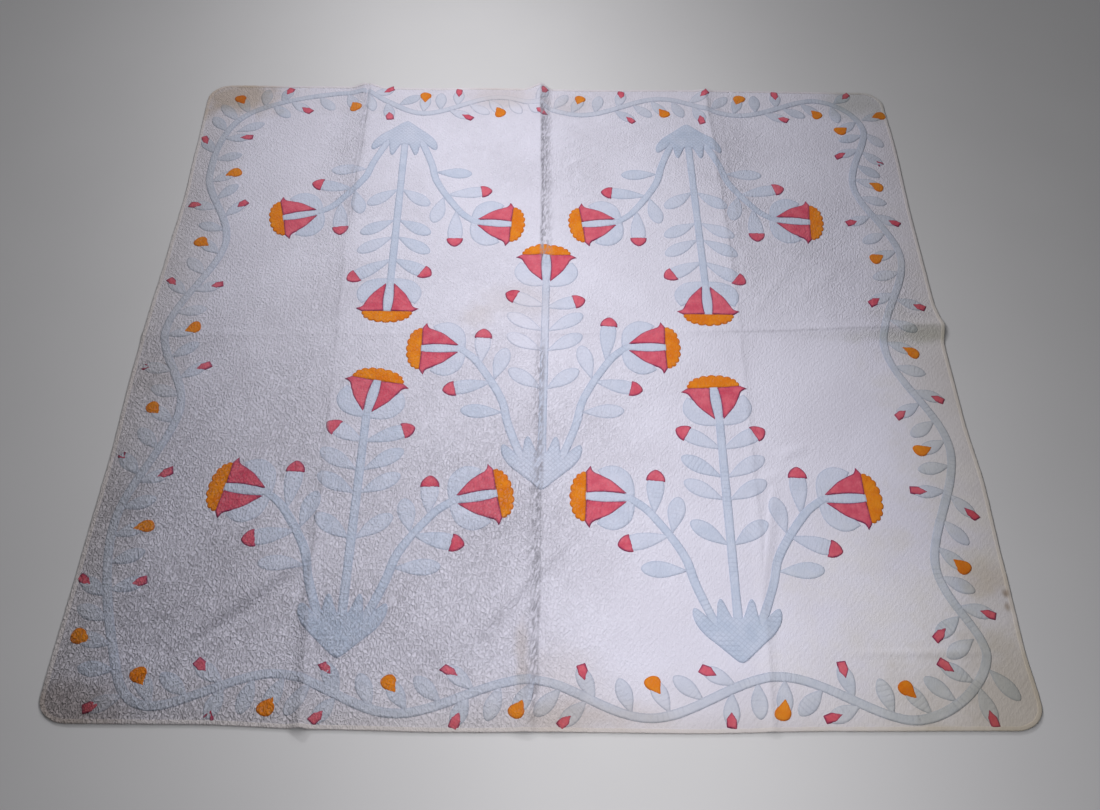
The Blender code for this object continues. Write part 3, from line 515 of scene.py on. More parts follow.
def relief(x, y):
    """How far the quilted top lies below its highest level."""
    puff = 1
    for way in (-1, 1):
        wander = uneven(x, y, 0, *ROW_WANDER, SEED["rows"] + way)
        across = (y + way * x) / math.sqrt(2) + wander
        puff = puff * np.abs(np.sin(math.pi * across / ROW_PITCH)) ** ROW_PUFF
    share = np.clip(uneven(x, y, *SLANTED, SEED["slant"]), 0, 1) * MOST_SLANTED
    slanted = net(x, y, SEED["slanted net"], SLANT_LEAN)
    ridges = net(x, y, SEED["net"], WRINKLE_LEAN) * (1 - share) + slanted * share
    strength = np.minimum(wrinkled(x, y), MOST_WRINKLED)
    depth = ROW_DEPTH * (ROW_SHARES[0] + ROW_SHARES[1] * strength) * (1 - puff)
    depth = depth + WRINKLE_DEPTH * strength * (1 - ridges)
    rolling = noise(x, y, *WAVE_PITCH, SEED["waves"], WRINKLE_LEAN)
    depth = depth + WAVE_DEPTH * strength * (0.5 - 0.5 * rolling)
    swell = SWELL_DEPTH * (0.5 - 0.5 * noise(x, y, SWELL_PITCH, SWELL_PITCH, SEED["swell"]))
    return depth + fold_marks(x, y)[0] + swell


print("rows every", ROW_PITCH * 1000, "mm, net in cells of", np.multiply(WRINKLE_PITCH, 1000), "mm")

# %% [markdown]
# ## Old fold lines
#
# A fold that was kept for years leaves a thin line where the cloth was pinched, and a band
# of short crinkles beside it, where the shrunken layers could not lie flat. Both are painted
# grey, partly for the dust that settles there and partly as painted shade. The line is a
# groove in the mesh. The crinkles are a few millimetres wide, so only their band is worked
# out here, as a share of each point, and the finish draws them.

# %% Fold lines
# Crease, first and last place along it, offset of the line, its grey (painted shade and dust),
# then the low, middle and high offset of the crinkled band, its strength
FOLD_LINES = (
    (CENTRE_TOP, 0.24, 1.00, 0.000, 0.62, -0.005, 0.003, 0.036, 1.00),
    (CENTRE_LOW, -1.00, 0.06, 0.021, 0.45, -0.012, 0.015, 0.025, 0.95),
    (LEFT_NEAR, -1.00, -0.05, 0.000, 0.28, -0.018, 0.000, 0.012, 0.30),
    (LEFT_NEAR, -0.10, 0.36, 0.000, 0.24, -0.012, 0.000, 0.010, 0.24),
    (LEFT_NEAR, 0.33, 1.00, 0.002, 0.42, -0.018, 0.000, 0.008, 0.30),
    (LEFT_FAR, 0.36, 1.00, 0.001, 0.36, -0.004, 0.001, 0.016, 0.30),
    (RIGHT_CREASE, 0.15, 1.00, 0.004, 0.22, -0.012, 0.004, 0.016, 0.24),
    (RIGHT_CREASE, 0.30, 1.00, 0.037, 0.18, 0.026, 0.037, 0.048, 0.18),
    (RIGHT_CREASE, -1.00, 0.20, 0.004, 0.10, -0.012, 0.004, 0.014, 0.10),
    (CROSS_CREASE, 0.40, 1.03, -0.003, 0.26, -0.014, -0.003, 0.010, 0.22),
    (CROSS_CREASE, -1.03, 0.45, -0.003, 0.06, -0.012, -0.003, 0.008, 0.05),
)
FOLD_END = 0.10
# Painted shade on the steep side of a soft fold: start x, start y, end x, end y, reach, grey
SOFT_FOLD_SHADE = (
    (-0.500, -0.590, -0.785, -0.838, 0.020, 0.20),
    (0.062, -0.560, -0.165, -0.818, 0.020, 0.12),
    (0.529, -0.420, 0.462, -0.750, 0.007, 0.20),
    (-0.545, -0.020, -0.600, -0.080, 0.016, 0.08),
    (-0.590, -0.470, -0.730, -0.590, 0.014, 0.08),
)
# Level, swing and pitch of the waves that make the painted fold shade and dust patchy
PATCHY = (0.88, 0.24, 0.030)
LINE_WIDTH = 0.0026
LINE_DEEP = 0.0014
BAND_DEEP = 0.0008


def fold_marks(x, y):
    """Depth of the old folds, the grey of their lines, which is painted shade and dust, and the strength of
    their crinkles.
    """
    deep, lines, bands = np.zeros_like(x), np.zeros_like(x), np.zeros_like(x)
    patchy = uneven(x, y, *PATCHY, SEED["fold shade and dust"])
    # The grey of each fold line is painted shade and dust
    for crease, first, last, line, grey, low, middle, high, crinkled in FOLD_LINES:
        along, offset = off_crest(crease, x, y)
        ends = np.clip(np.minimum(along - first, last - along) / FOLD_END, 0, 1)
        pinch = grey * ends * np.exp(-((offset - line) / LINE_WIDTH) ** 2)
        band = crinkled * ends * np.interp(offset, (low, middle, high), (0, 1, 0))
        deep = np.maximum(deep, LINE_DEEP * pinch + BAND_DEEP * band)
        lines = np.maximum(lines, patchy * pinch)
        bands = np.maximum(bands, patchy * band)
    # Painted shade on the steep side of each soft fold
    for start_x, start_y, end_x, end_y, reach, grey in SOFT_FOLD_SHADE:
        part, distance = beside(x, y, start_x, start_y, end_x, end_y)
        near = np.clip(1 - distance / reach, 0, 1)
        lines = np.maximum(lines, patchy * grey * bulge(part) * near)
    return deep, lines, bands


print("share of the quilt with dust or crinkles:", (np.add(*fold_marks(*SPOTS)[1:]) > 0.02).mean().round(3))

# %% Top of the quilt
HEM_BAND = 0.014
HEM_PRESS = 0.0008
HEM_RELIEF = 0.3


def top(x, y):
    """Height of the quilted top over the floor."""
    inwards = np.clip(from_edge(x, y) / HEM_BAND, 0, 1)
    pressed = HEM_PRESS * (1 - smooth(inwards))
    return lift(x, y) + THICKNESS - relief(x, y) * (HEM_RELIEF + (1 - HEM_RELIEF) * inwards) - pressed


print("relief of the top:", (relief(*SPOTS).std() * 1000).round(2), "mm")

# %% [markdown]
# ## Meshes from arrays
#
# bmesh is comfortable for a few hundred faces, but the cloth here has hundreds of thousands,
# so the points and faces are NumPy arrays that go to Blender in one call each. A UV map
# carries the way along and across each piece in metres, which the finish follows. Each
# point of cloth is also marked with how wrinkled it is, with the grey and the crinkles of
# the old folds, and with what the stains leave of its colour.
#
# The stains are soft spots with ragged rims: browner towards the edges, where hands held
# the quilt, and green grey where a fold lay open at the right.

# %% Stains
TAN = (0.72, 0.61, 0.45)
DEEP_TAN = (0.52, 0.44, 0.36)
GREEN_GREY = (0.62, 0.64, 0.51)
BEIGE = (0.70, 0.65, 0.53)
DUST = (0.80, 0.78, 0.70)
YELLOWED = (0.99, 0.97, 0.84)
# x, y, reach in x, reach in y, share, and what a full share leaves of red, green and blue
STAINS = (
    (0.900, 0.036, 0.220, 0.030, 0.40, GREEN_GREY), (0.990, 0.045, 0.090, 0.030, 0.25, GREEN_GREY),
    (-0.960, 0.930, 0.200, 0.110, 0.85, TAN), (-0.985, -0.945, 0.150, 0.080, 0.62, DEEP_TAN),
    (0.050, -0.870, 0.110, 0.110, 0.22, TAN), (0.060, -0.945, 0.220, 0.040, 0.35, TAN),
    (1.000, -0.960, 0.300, 0.240, 0.60, BEIGE), (0.950, 0.920, 0.140, 0.090, 0.60, GREEN_GREY),
    (-0.180, 0.090, 0.050, 0.050, 0.24, TAN), (-0.080, 0.140, 0.130, 0.070, 0.18, TAN),
    (-0.950, -0.120, 0.090, 0.070, 0.15, TAN), (-0.130, 0.940, 0.120, 0.060, 0.35, TAN),
    (0.060, 0.900, 0.100, 0.050, 0.22, TAN), (0.960, -0.640, 0.080, 0.050, 0.35, TAN),
    (-0.045, -0.850, 0.018, 0.130, 0.35, TAN), (-0.995, -0.500, 0.034, 0.460, 0.06, TAN),
    (-1.000, 0.000, 0.140, 1.150, 0.25, DUST), (1.000, -0.300, 0.200, 0.900, 0.30, DUST),
    (0.000, -0.990, 1.100, 0.060, 0.40, DUST), (0.950, -0.950, 0.550, 0.550, 0.75, YELLOWED),
    (1.000, -0.150, 0.200, 0.550, 0.50, YELLOWED), (1.004, -0.672, 0.010, 0.013, 0.90, DEEP_TAN),
    (1.000, -0.702, 0.008, 0.015, 0.75, DEEP_TAN),
)
STAIN_REACH = 1.2
# Share of the half width where the dirt of the edge starts and is full, and its share there
DIRTY_EDGE = (0.86, 1.01, 0.40)
# The far edge is cleaner: y where that starts and is full, share of the dirt left
CLEAN_FAR_EDGE = (0.80, 0.95, 0.35)
# Swing, pitch and seed of the waves that make the rims of the stains ragged
RAGGED = ((0.20, 0.060, 16), (0.12, 0.022, 17), (0.08, 0.009, 18))


def stain(x, y):
    """What the stains leave of the cloth's colour, as red, green and blue."""
    ragged = sum(uneven(x, y, 0, *row) for row in RAGGED)
    out = np.maximum(np.abs(x) / (WIDTH / 2), np.abs(y) / (LENGTH / 2))
    share = DIRTY_EDGE[2] * np.interp(out, DIRTY_EDGE[:2], (0, 1)) * (1 + ragged)
    share = share * np.interp(y, CLEAN_FAR_EDGE[:2], (1, CLEAN_FAR_EDGE[2]))
    left = 1 - share[:, None] * (1 - np.array(BEIGE))
    for middle_x, middle_y, reach_x, reach_y, strength, tint in STAINS:
        far_off = np.hypot((x - middle_x) / reach_x, (y - middle_y) / reach_y)
        share = strength * smooth(np.clip(STAIN_REACH - far_off - ragged, 0, 1))
        left = left * (1 - share[:, None] * (1 - np.array(tint)))
    return left


print(len(STAINS), "stains, which leave", stain(*SPOTS).min(0).round(2), "of the colours at least")

# %% Mesh helper
def give(mesh, name, values):
    """Adds an attribute that holds a number for each point of a mesh."""
    values = np.asarray(values, np.float32)
    mesh.attributes.new(name, "FLOAT", "POINT").data.foreach_set("value", values)


def mark(mesh):
    """Marks the points of a cloth with its wrinkles, its old folds and its stains."""
    points = np.empty(3 * len(mesh.vertices), np.float32)
    mesh.vertices.foreach_get("co", points)
    x, y = points.reshape(-1, 3)[:, :2].T.astype(float)
    _, lines, bands = fold_marks(x, y)
    for name, values in (("creased", wrinkled(x, y)), ("fold line", lines), ("fold crinkles", bands)):
        give(mesh, name, values)
    tint = np.column_stack([stain(x, y), np.ones(len(x))]).astype(np.float32)
    mesh.attributes.new("stain", "FLOAT_COLOR", "POINT").data.foreach_set("color", tint.ravel())


def new_piece(name, points, faces, finish, flow=None, **shares):
    """Makes a smooth mesh object from arrays. Each share becomes an attribute of the points."""
    mesh = bpy.data.meshes.new(name)
    faces = np.asarray(faces, np.int32)
    mesh.vertices.add(len(points))
    mesh.vertices.foreach_set("co", np.asarray(points, np.float32).ravel())
    mesh.loops.add(faces.size)
    mesh.loops.foreach_set("vertex_index", faces.ravel())
    mesh.polygons.add(len(faces))
    mesh.polygons.foreach_set("loop_start", np.arange(len(faces), dtype=np.int32) * faces.shape[1])
    if flow is not None:
        layer = mesh.uv_layers.new(name="flow")
        layer.data.foreach_set("uv", np.asarray(flow, np.float32)[faces.ravel()].ravel())
    for share, values in shares.items():
        give(mesh, share, values)
    mesh.update(calc_edges=True)
    mesh.shade_smooth()
    mark(mesh)
    mesh.materials.append(finish)
    return put(name, mesh)


print("a new mesh is marked at each point with: creased, fold line, fold crinkles, stain")

# %% [markdown]
# ## The finish of old white cotton
#
# The cloth is a washed white that looks faintly lilac in cool light, under the marks of age and some painted
# shade in its grooves and folds.
# A fine bump gives the wrinkles that are too small for the mesh: ridges that join up into a
# net, leaning as the cloth was pulled, the rows of stitches that cross it and the weave.

# %% Fine wrinkles
# Pitch across, along and through of the net of ridges, the dimples and the long lines
NET_PITCH = (0.0074, 0.0130, 0.0074)
DIMPLE_PITCH = (0.0060, 0.0100, 0.0060)
LINE_PITCH = (0.0084, 0.0220, 0.0084)
# Where the side of a ridge or of a long line ends, and the height of its crest
NET_RIDGE = (0.24, 0.45)
LONG_RIDGE = (0.09, 0.40)
DIMPLE_SHARE = 0.7
HATCH_PITCH = 0.0088
HATCH_SHARE = 0.18
HATCH_WIDTH = 0.22
WARP_SCALE = 16.0
WARP_REACH = 0.012


def turned_place(tree, place, lean, pitch):
    """Coordinates turned by an angle and counted in pitches."""
    return add(tree, "ShaderNodeMapping", {"Vector": place, "Rotation": (0, 0, lean), "Scale": pitch},
               vector_type="TEXTURE").outputs[0]


def hatch(tree, place):
    """Rows of stitches that cross each other, as thin lines from 0 to 1."""
    rows = [waves(tree, turned_place(tree, place, math.radians(lean), (1.0, 1.0, 1.0)), HATCH_PITCH)
            for lean in (45, -45)]
    return spread(tree, maths(tree, "MINIMUM", *rows), 0.0, HATCH_WIDTH, 1.0, 0.0)


def wrinkle_height(tree, place):
    """Fine wrinkles as a height from 0 to 1: ridges that join up into a net, with dimples."""
    wander = mottle(tree, place, WARP_SCALE, 4.0, 0.6, output=1)
    moved = vector_maths(tree, "SUBTRACT", {0: wander, 1: (0.5, 0.5, 0.5)})
    moved = vector_maths(tree, "SCALE", {0: moved, "Scale": WARP_REACH})
    moved = vector_maths(tree, "ADD", {0: place, 1: moved})
    inputs = {"Vector": turned_place(tree, moved, WRINKLE_LEAN, NET_PITCH), "Scale": 1.0}
    cells = add(tree, "ShaderNodeTexVoronoi", inputs, feature="DISTANCE_TO_EDGE", voronoi_dimensions="2D")
    ridges = spread(tree, cells.outputs["Distance"], 0.0, *NET_RIDGE, 0.0)
    lines = mottle(tree, turned_place(tree, moved, WRINKLE_LEAN, LINE_PITCH), 1.0, 0.0)
    lines = maths(tree, "ABSOLUTE", maths(tree, "SUBTRACT", lines, 0.5))
    lines = spread(tree, lines, 0.0, *LONG_RIDGE, 0.0)
    dimples = mottle(tree, turned_place(tree, moved, WRINKLE_LEAN, DIMPLE_PITCH), 1.0, 1.0)
    dimples = maths(tree, "MULTIPLY", dimples, DIMPLE_SHARE)
    height = maths(tree, "ADD", maths(tree, "MAXIMUM", ridges, lines), dimples)
    return maths(tree, "SUBTRACT", height, maths(tree, "MULTIPLY", hatch(tree, moved), HATCH_SHARE))


print("fine ridges every", [round(pitch * 1000, 1) for pitch in NET_PITCH[:2]], "mm")

# %% Bump of cloth
WRINKLE_BUMP = 0.0056
CRINKLE_PITCH = (0.0046, 0.0190, 0.0046)
CRINKLE_LEAN = math.radians(-14)
CRINKLE_BUMP = 0.0030
THREAD_PITCH = 0.0009
THREAD_DEPTH = 0.00012


def weave_height(tree, place):
    """Threads over and under each other."""
    threads = [waves(tree, place, THREAD_PITCH, way, Distortion=0.4) for way in ("X", "Y")]
    return maths(tree, "MULTIPLY", *threads)


def bump(tree, height, distance, strength=1.0, normal=None):
    inputs = {"Height": height, "Distance": distance, "Strength": strength}
    if normal is not None:
        inputs["Normal"] = normal
    return add(tree, "ShaderNodeBump", inputs).outputs[0]


def attribute(tree, name, output="Fac"):
    return add(tree, "ShaderNodeAttribute", attribute_name=name).outputs[output]


def crinkle_height(tree, place):
    """Short crinkles beside an old fold, from 0 to 1."""
    return mottle(tree, turned_place(tree, place, CRINKLE_LEAN, CRINKLE_PITCH), 1.0, 1.5)


def cloth_bump(tree, place, height, share=1.0):
    """The bump of all the cloths: wrinkles, crinkles beside the folds, then threads."""
    normal = bump(tree, height, WRINKLE_BUMP, maths(tree, "MULTIPLY", attribute(tree, "creased"), share))
    normal = bump(tree, crinkle_height(tree, place), CRINKLE_BUMP, attribute(tree, "fold crinkles"), normal)
    return bump(tree, weave_height(tree, place), THREAD_DEPTH, 0.6, normal)


print("bumps up to", WRINKLE_BUMP * 1000, "mm for wrinkles and", CRINKLE_BUMP * 1000, "mm for crinkles")

# %% White cotton
COTTON = colour(0.775, 0.765, 0.885)
COTTON_SHADE = colour(0.735, 0.722, 0.835)
# Painted shade and dust of the old folds
FOLD_SHADE_AND_DUST = colour(0.330, 0.325, 0.385)
# Painted shade in the grooves of the wrinkles
GROOVE_SHADE = colour(0.420, 0.405, 0.480)
COTTON_MOTTLE = 5.0
COTTON_ENDS = (0.35, 0.65)
# Heights between which the painted shade of a groove fades out, and a crinkle's dark stroke,
# painted shade and dust, with its share
GROOVE_SHADE_ENDS = (0.20, 0.45)
STROKE = (0.38, 0.62, 0.95)


def aged_and_shaded(tree, place, height, tone, groove_share):
    """Paints shade into the grooves of a cloth, and shade and dust into its old folds, then lays on the
    stains.
    """
    # Painted shade in the grooves of the fine wrinkles
    groove = spread(tree, height, *GROOVE_SHADE_ENDS, groove_share, 0.0)
    groove = maths(tree, "MULTIPLY", groove, attribute(tree, "creased"))
    tone = blend(tree, groove, tone, GROOVE_SHADE)
    # Painted shade and dust: the dark strokes of the crinkles and the grey of the fold lines
    stroke = spread(tree, crinkle_height(tree, place), *STROKE, 0.0)
    grey = maths(tree, "MULTIPLY", attribute(tree, "fold crinkles"), stroke)
    grey = maths(tree, "ADD", grey, attribute(tree, "fold line"), clamp=True)
    tone = blend(tree, grey, tone, FOLD_SHADE_AND_DUST)
    inputs = {0: 1.0, 6: tone, 7: attribute(tree, "stain", "Color")}
    return add(tree, "ShaderNodeMix", inputs, data_type="RGBA", blend_type="MULTIPLY").outputs[2]


def new_finish(name):
    """An empty cloth finish: its tree, its shader and the place on the quilt."""
    material = bpy.data.materials.new(name)
    material.use_nodes = True
    tree = material.node_tree
    shader = tree.nodes["Principled BSDF"]
    shader.inputs["Roughness"].default_value = 0.92
    shader.inputs["Specular IOR Level"].default_value = 0.22
    shader.inputs["Sheen Weight"].default_value = 0.05
    shader.inputs["Sheen Roughness"].default_value = 0.5
    return material, tree, shader, add(tree, "ShaderNodeTexCoord").outputs["Object"]


def white_cotton():
    material, tree, shader, place = new_finish("white_cotton")
    patchy = spread(tree, mottle(tree, place, COTTON_MOTTLE, 4.0), *COTTON_ENDS)
    tone = blend(tree, patchy, COTTON_SHADE, COTTON)
    height = wrinkle_height(tree, place)
    tree.links.new(aged_and_shaded(tree, place, height, tone, 0.10), shader.inputs["Base Color"])
    tree.links.new(cloth_bump(tree, place, height), shader.inputs["Normal"])
    return material


WHITE_COTTON = white_cotton()
print("white cotton has", len(WHITE_COTTON.node_tree.nodes), "nodes")

# %% [markdown]
# ## The quilted ground
#
# One subdivided plane with a displacement would do, but a quilt two metres wide with rows
# every 13 mm needs over half a million triangles. So one even grid is worked out as an
# array, cut to the outline, and split into four lengths of cloth that meet on the three
# long creases. Their normals are worked out on the whole grid, so no seam shows. The rim
# lies inside the binding.

# %% Ground
GRID_STEP = 0.0037
RIM_INSIDE = 0.0022
STRIP_ENDS = (-0.516, -0.016, 0.486)
STRIP_NAMES = ("ground_left", "ground_mid_left", "ground_mid_right", "ground_right")
UNDER_STEP = 0.0165
HEM_RAISE = HEM_PRESS / 2
# Steps by which a point of the grid is drawn in to the rim at most
MOST_DRAWN = 1.5


def height_grid(step, height):
    """Points of an even grid over the quilt, and which of them lie inside its rim. The others
    are drawn in to it."""
    columns = np.arange(-WIDTH / 2 - step, WIDTH / 2 + 2 * step, step)
    rows = np.arange(-LENGTH / 2 - step, LENGTH / 2 + 2 * step, step)
    x, y = np.meshgrid(columns, rows)
    depth = from_edge(x, y)
    slope_y, slope_x = np.gradient(depth, step)
    short = np.clip(RIM_INSIDE - depth, 0, step * MOST_DRAWN)
    x, y = x + slope_x * short, y + slope_y * short
    z = height(x.ravel(), y.ravel()).reshape(x.shape)
    return x, y, z, depth > RIM_INSIDE


def grid_piece(name, x, y, z, inside, first, last, faces_up=True):
    """The part of a grid between two columns, as one mesh. Gives it with its points' numbers."""
    number = np.arange(x.size).reshape(x.shape)
    quads = np.stack([number[:-1, :-1], number[:-1, 1:], number[1:, 1:], number[1:, :-1]], -1)
    kept = inside[:-1, :-1] | inside[:-1, 1:] | inside[1:, 1:] | inside[1:, :-1]
    kept[:, :first] = False
    kept[:, last:] = False
    quads = quads[kept]
    if not faces_up:
        quads = quads[:, ::-1]
    used, faces = np.unique(quads, return_inverse=True)
    points = np.stack([x.ravel()[used], y.ravel()[used], z.ravel()[used]], 1)
    return new_piece(name, points, faces.reshape(-1, 4), WHITE_COTTON), used


def make_ground():
    x, y, z, inside = height_grid(GRID_STEP, top)
    slope_y, slope_x = np.gradient(z, GRID_STEP)
    normals = np.stack([-slope_x, -slope_y, np.ones_like(z)], -1).reshape(-1, 3)
    normals /= np.linalg.norm(normals, axis=1, keepdims=True)
    cuts = [0] + [int(round((end - x[0, 0]) / GRID_STEP)) for end in STRIP_ENDS] + [x.shape[1] - 1]
    strips = []
    for name, first, last in zip(STRIP_NAMES, cuts, cuts[1:]):
        piece, used = grid_piece(name, x, y, z, inside, first, last)
        piece.data.normals_split_custom_set_from_vertices(normals[used])
        strips.append(piece)
        print(name, 2 * len(piece.data.polygons), "triangles")
    return strips


def underside(x, y):
    """Height of the backing over the floor. Its hem is raised a little, to lie in the binding."""
    return lift(x, y) + HEM_RAISE * (from_edge(x, y) < HEM_BAND)


GROUND = make_ground()
x, y, z, inside = height_grid(UNDER_STEP, underside)
BACKING, _ = grid_piece("backing", x, y, z, inside, 0, x.shape[1] - 1, faces_up=False)
print("backing", 2 * len(BACKING.data.polygons), "triangles")

# %% [markdown]
# ## The finish of the coloured cottons
#
# The leaves and stems are a blue that has faded almost to the white of the ground. The
# petals are a mottled rose red, the crowns a warm orange. All are the same thin cotton, so
# one function makes them, from a colour, a worn colour and the colour of the seam. The rim
# attribute darkens the turned-under edge, and the flow map carries the quilting lines that
# cross each leaf and stem.

# %% Coloured cottons
CROWN_LINE_PITCH = 0.0140
# Name, colour when fresh, faded and worn out, colour of the seam, then the pitch and share of
# the quilting lines, the scale of the mottling and the share of the seam
COTTONS = (
    ("faded_blue_cotton", (0.510, 0.585, 0.740), (0.590, 0.650, 0.800), (0.730, 0.735, 0.865),
     (0.340, 0.390, 0.520), 0.0110, 0.30, 26.0, 0.48),
    ("grey_blue_cotton", (0.530, 0.580, 0.715), (0.610, 0.650, 0.780), (0.735, 0.735, 0.855),
     (0.340, 0.375, 0.490), 0.0110, 0.30, 26.0, 0.50),
    ("rose_red_cotton", (0.620, 0.070, 0.125), (0.740, 0.135, 0.190), (0.780, 0.290, 0.350),
     (0.200, 0.022, 0.090), 0.0120, 0.08, 44.0, 0.92),
    ("warm_orange_cotton", (0.740, 0.190, 0.005), (0.820, 0.270, 0.012), (0.860, 0.360, 0.060),
     (0.430, 0.095, 0.004), CROWN_LINE_PITCH, 0.05, 30.0, 0.55),
)
print("coloured cottons:", [row[0] for row in COTTONS])

# %% Finishes of the coloured cottons
LINE_DEPTH = 0.0003
# Values between which the noise or the rim takes effect: mottling, specks, places where the
# lines show, dark rim of the seam and its patches. Two more are the shares at those ends
MOTTLED = (0.34, 0.68)
SPECKS = (0.60, 0.78, 0.0, 0.5)
LINES_SHOW = (0.42, 0.66)
SEAM_ENDS = (0.28, 0.85)
SEAM_PATCHES = (0.3, 0.6, 0.65, 1.0)
# Scale of the specks against the mottling, of the places with lines and of the seam's patches
SPECK_SCALE = 9
SHOWN_SCALE = 18.0
SEAM_SCALE = 60.0
HATCH_DARK = 0.30
PATCH_BUMP = 0.7


def coloured_cotton(name, *row):
    fresh, faded, worn_out, seam = (colour(*tone) for tone in row[:4])
    line_pitch, line_share, mottle_scale, seam_share = row[4:]
    material, tree, shader, place = new_finish(name)
    patchy = mottle(tree, place, mottle_scale, 5.0, 0.62)
    tone = blend(tree, spread(tree, patchy, *MOTTLED), fresh, faded)
    specks = spread(tree, mottle(tree, place, mottle_scale * SPECK_SCALE, 2.0), *SPECKS)
    tone = blend(tree, specks, tone, faded)
    flow = add(tree, "ShaderNodeUVMap", uv_map="flow").outputs[0]
    wave = waves(tree, flow, line_pitch, Distortion=1.2, Detail=1.0, **{"Detail Scale": 1.5})
    lines_seen = spread(tree, mottle(tree, place, SHOWN_SCALE, 1.0), *LINES_SHOW)
    line = maths(tree, "MULTIPLY", spread(tree, wave, 0.0, 0.30, line_share, 0.0), lines_seen)
    tone = blend(tree, line, tone, seam)
    tone = blend(tree, attribute(tree, "worn"), tone, worn_out)
    stitched = maths(tree, "MULTIPLY", hatch(tree, place), attribute(tree, "hatched"))
    tone = blend(tree, maths(tree, "MULTIPLY", stitched, HATCH_DARK), tone, seam)
    edge = spread(tree, attribute(tree, "rim"), *SEAM_ENDS, seam_share, 0.0)
    patches = spread(tree, mottle(tree, place, SEAM_SCALE, 2.0), *SEAM_PATCHES)
    tone = blend(tree, maths(tree, "MULTIPLY", edge, patches), tone, seam)
    height = wrinkle_height(tree, place)
    tree.links.new(aged_and_shaded(tree, place, height, tone, 0.15), shader.inputs["Base Color"])
    normal = cloth_bump(tree, place, height, PATCH_BUMP)
    normal = bump(tree, spread(tree, wave, 0.0, 0.5), LINE_DEPTH, lines_seen, normal)
    tree.links.new(normal, shader.inputs["Normal"])
    return material


BLUE_COTTON, VINE_COTTON, RED_COTTON, ORANGE_COTTON = (coloured_cotton(*row) for row in COTTONS)
print("rose red cotton has", len(RED_COTTON.node_tree.nodes), "nodes")

# %% Cotton of the binding
TAPE_BUMP = 0.6
TAPE_MOTTLE = 14.0
TAPE_GREY = colour(0.700, 0.670, 0.715)
TAPE_PALE = colour(0.780, 0.755, 0.820)


def binding_cotton():
    material, tree, shader, place = new_finish("binding_cotton")
    tone = blend(tree, mottle(tree, place, TAPE_MOTTLE, 4.0), TAPE_GREY, TAPE_PALE)
    height = wrinkle_height(tree, place)
    tree.links.new(aged_and_shaded(tree, place, height, tone, 0.20), shader.inputs["Base Color"])
    tree.links.new(cloth_bump(tree, place, height, TAPE_BUMP), shader.inputs["Normal"])
    return material


BINDING_COTTON = binding_cotton()
print("finishes:", [material.name for material in bpy.data.materials])

# %% [markdown]
# ## The binding
#
# A narrow tape is folded over the raw edge and sewn down on both faces. Its section is the
# same all the way round, so Geometry Nodes sweep a rounded profile along the outline and
# then push the points about a little, for the puckers that the sewing leaves. On a line
# that runs anticlockwise, a profile's x points outwards and its y down.

# %% Tree for the binding
def new_tree(name, **inputs):
    """A Geometry Nodes tree with named inputs. Gives it with its input node and output node."""
    tree = bpy.data.node_groups.new(name, "GeometryNodeTree")
    tree.interface.new_socket("Geometry", in_out="INPUT", socket_type="NodeSocketGeometry")
    for label, kind in inputs.items():
        tree.interface.new_socket(label.replace("_", " "), in_out="INPUT", socket_type=kind)
    tree.interface.new_socket("Geometry", in_out="OUTPUT", socket_type="NodeSocketGeometry")
    return tree, tree.nodes.new("NodeGroupInput"), tree.nodes.new("NodeGroupOutput")


def binding_tree():
    size = "NodeSocketFloat"
    tree, given, made = new_tree("sweep_binding", Tape_width=size, Tape_height=size, Clear_of_floor=size,
                                 Roundness=size, Pucker_height=size, Pucker_pitch=size,
                                 Cloth="NodeSocketMaterial")
    value = given.outputs
    section = add(tree, "GeometryNodeCurvePrimitiveQuadrilateral",
                  {"Width": value["Tape width"], "Height": value["Tape height"]}).outputs[0]
    rounding = {"Curve": section, "Count": 4, "Radius": value["Roundness"]}
    section = add(tree, "GeometryNodeFilletCurve", rounding, mode="POLY").outputs[0]
    inwards = maths(tree, "MULTIPLY", value["Tape width"], -0.5)
    downwards = maths(tree, "MULTIPLY", value["Tape height"], -0.5)
    downwards = maths(tree, "SUBTRACT", downwards, value["Clear of floor"])
    shift = add(tree, "ShaderNodeCombineXYZ", {0: inwards, 1: downwards}).outputs[0]
    section = add(tree, "GeometryNodeTransform", {"Geometry": section, "Translation": shift}).outputs[0]
    sweep = {"Curve": value["Geometry"], "Profile Curve": section}
    tape = add(tree, "GeometryNodeCurveToMesh", sweep).outputs[0]
    scale = maths(tree, "DIVIDE", 1.0, value["Pucker pitch"])
    puckers = add(tree, "ShaderNodeTexNoise", {"Scale": scale, "Detail": 1.0}).outputs[0]
    height = maths(tree, "MULTIPLY", maths(tree, "SUBTRACT", puckers, 0.5), value["Pucker height"])
    normal = add(tree, "GeometryNodeInputNormal").outputs[0]
    push = vector_maths(tree, "SCALE", {0: normal, "Scale": height})
    tape = add(tree, "GeometryNodeSetPosition", {"Geometry": tape, "Offset": push}).outputs[0]
    tape = add(tree, "GeometryNodeSetShadeSmooth", {0: tape}).outputs[0]
    tape = add(tree, "GeometryNodeSetMaterial", {"Geometry": tape, "Material": value["Cloth"]}).outputs[0]
    tape = add(tree, "GeometryNodeRealizeInstances", {0: tape}).outputs[0]
    tree.links.new(tape, made.inputs[0])
    return tree


SWEEP = binding_tree()
print("the binding's tree has", len(SWEEP.nodes), "nodes")

# %% Binding
TAPE_WIDTH = 0.0090
TAPE_TOP = 0.0046
TAPE_CLEAR = 0.0002
TAPE_ROUNDNESS = 0.0016
PUCKER_HEIGHT = 0.0016
PUCKER_PITCH = 0.0095
PATH_STEP = 0.006


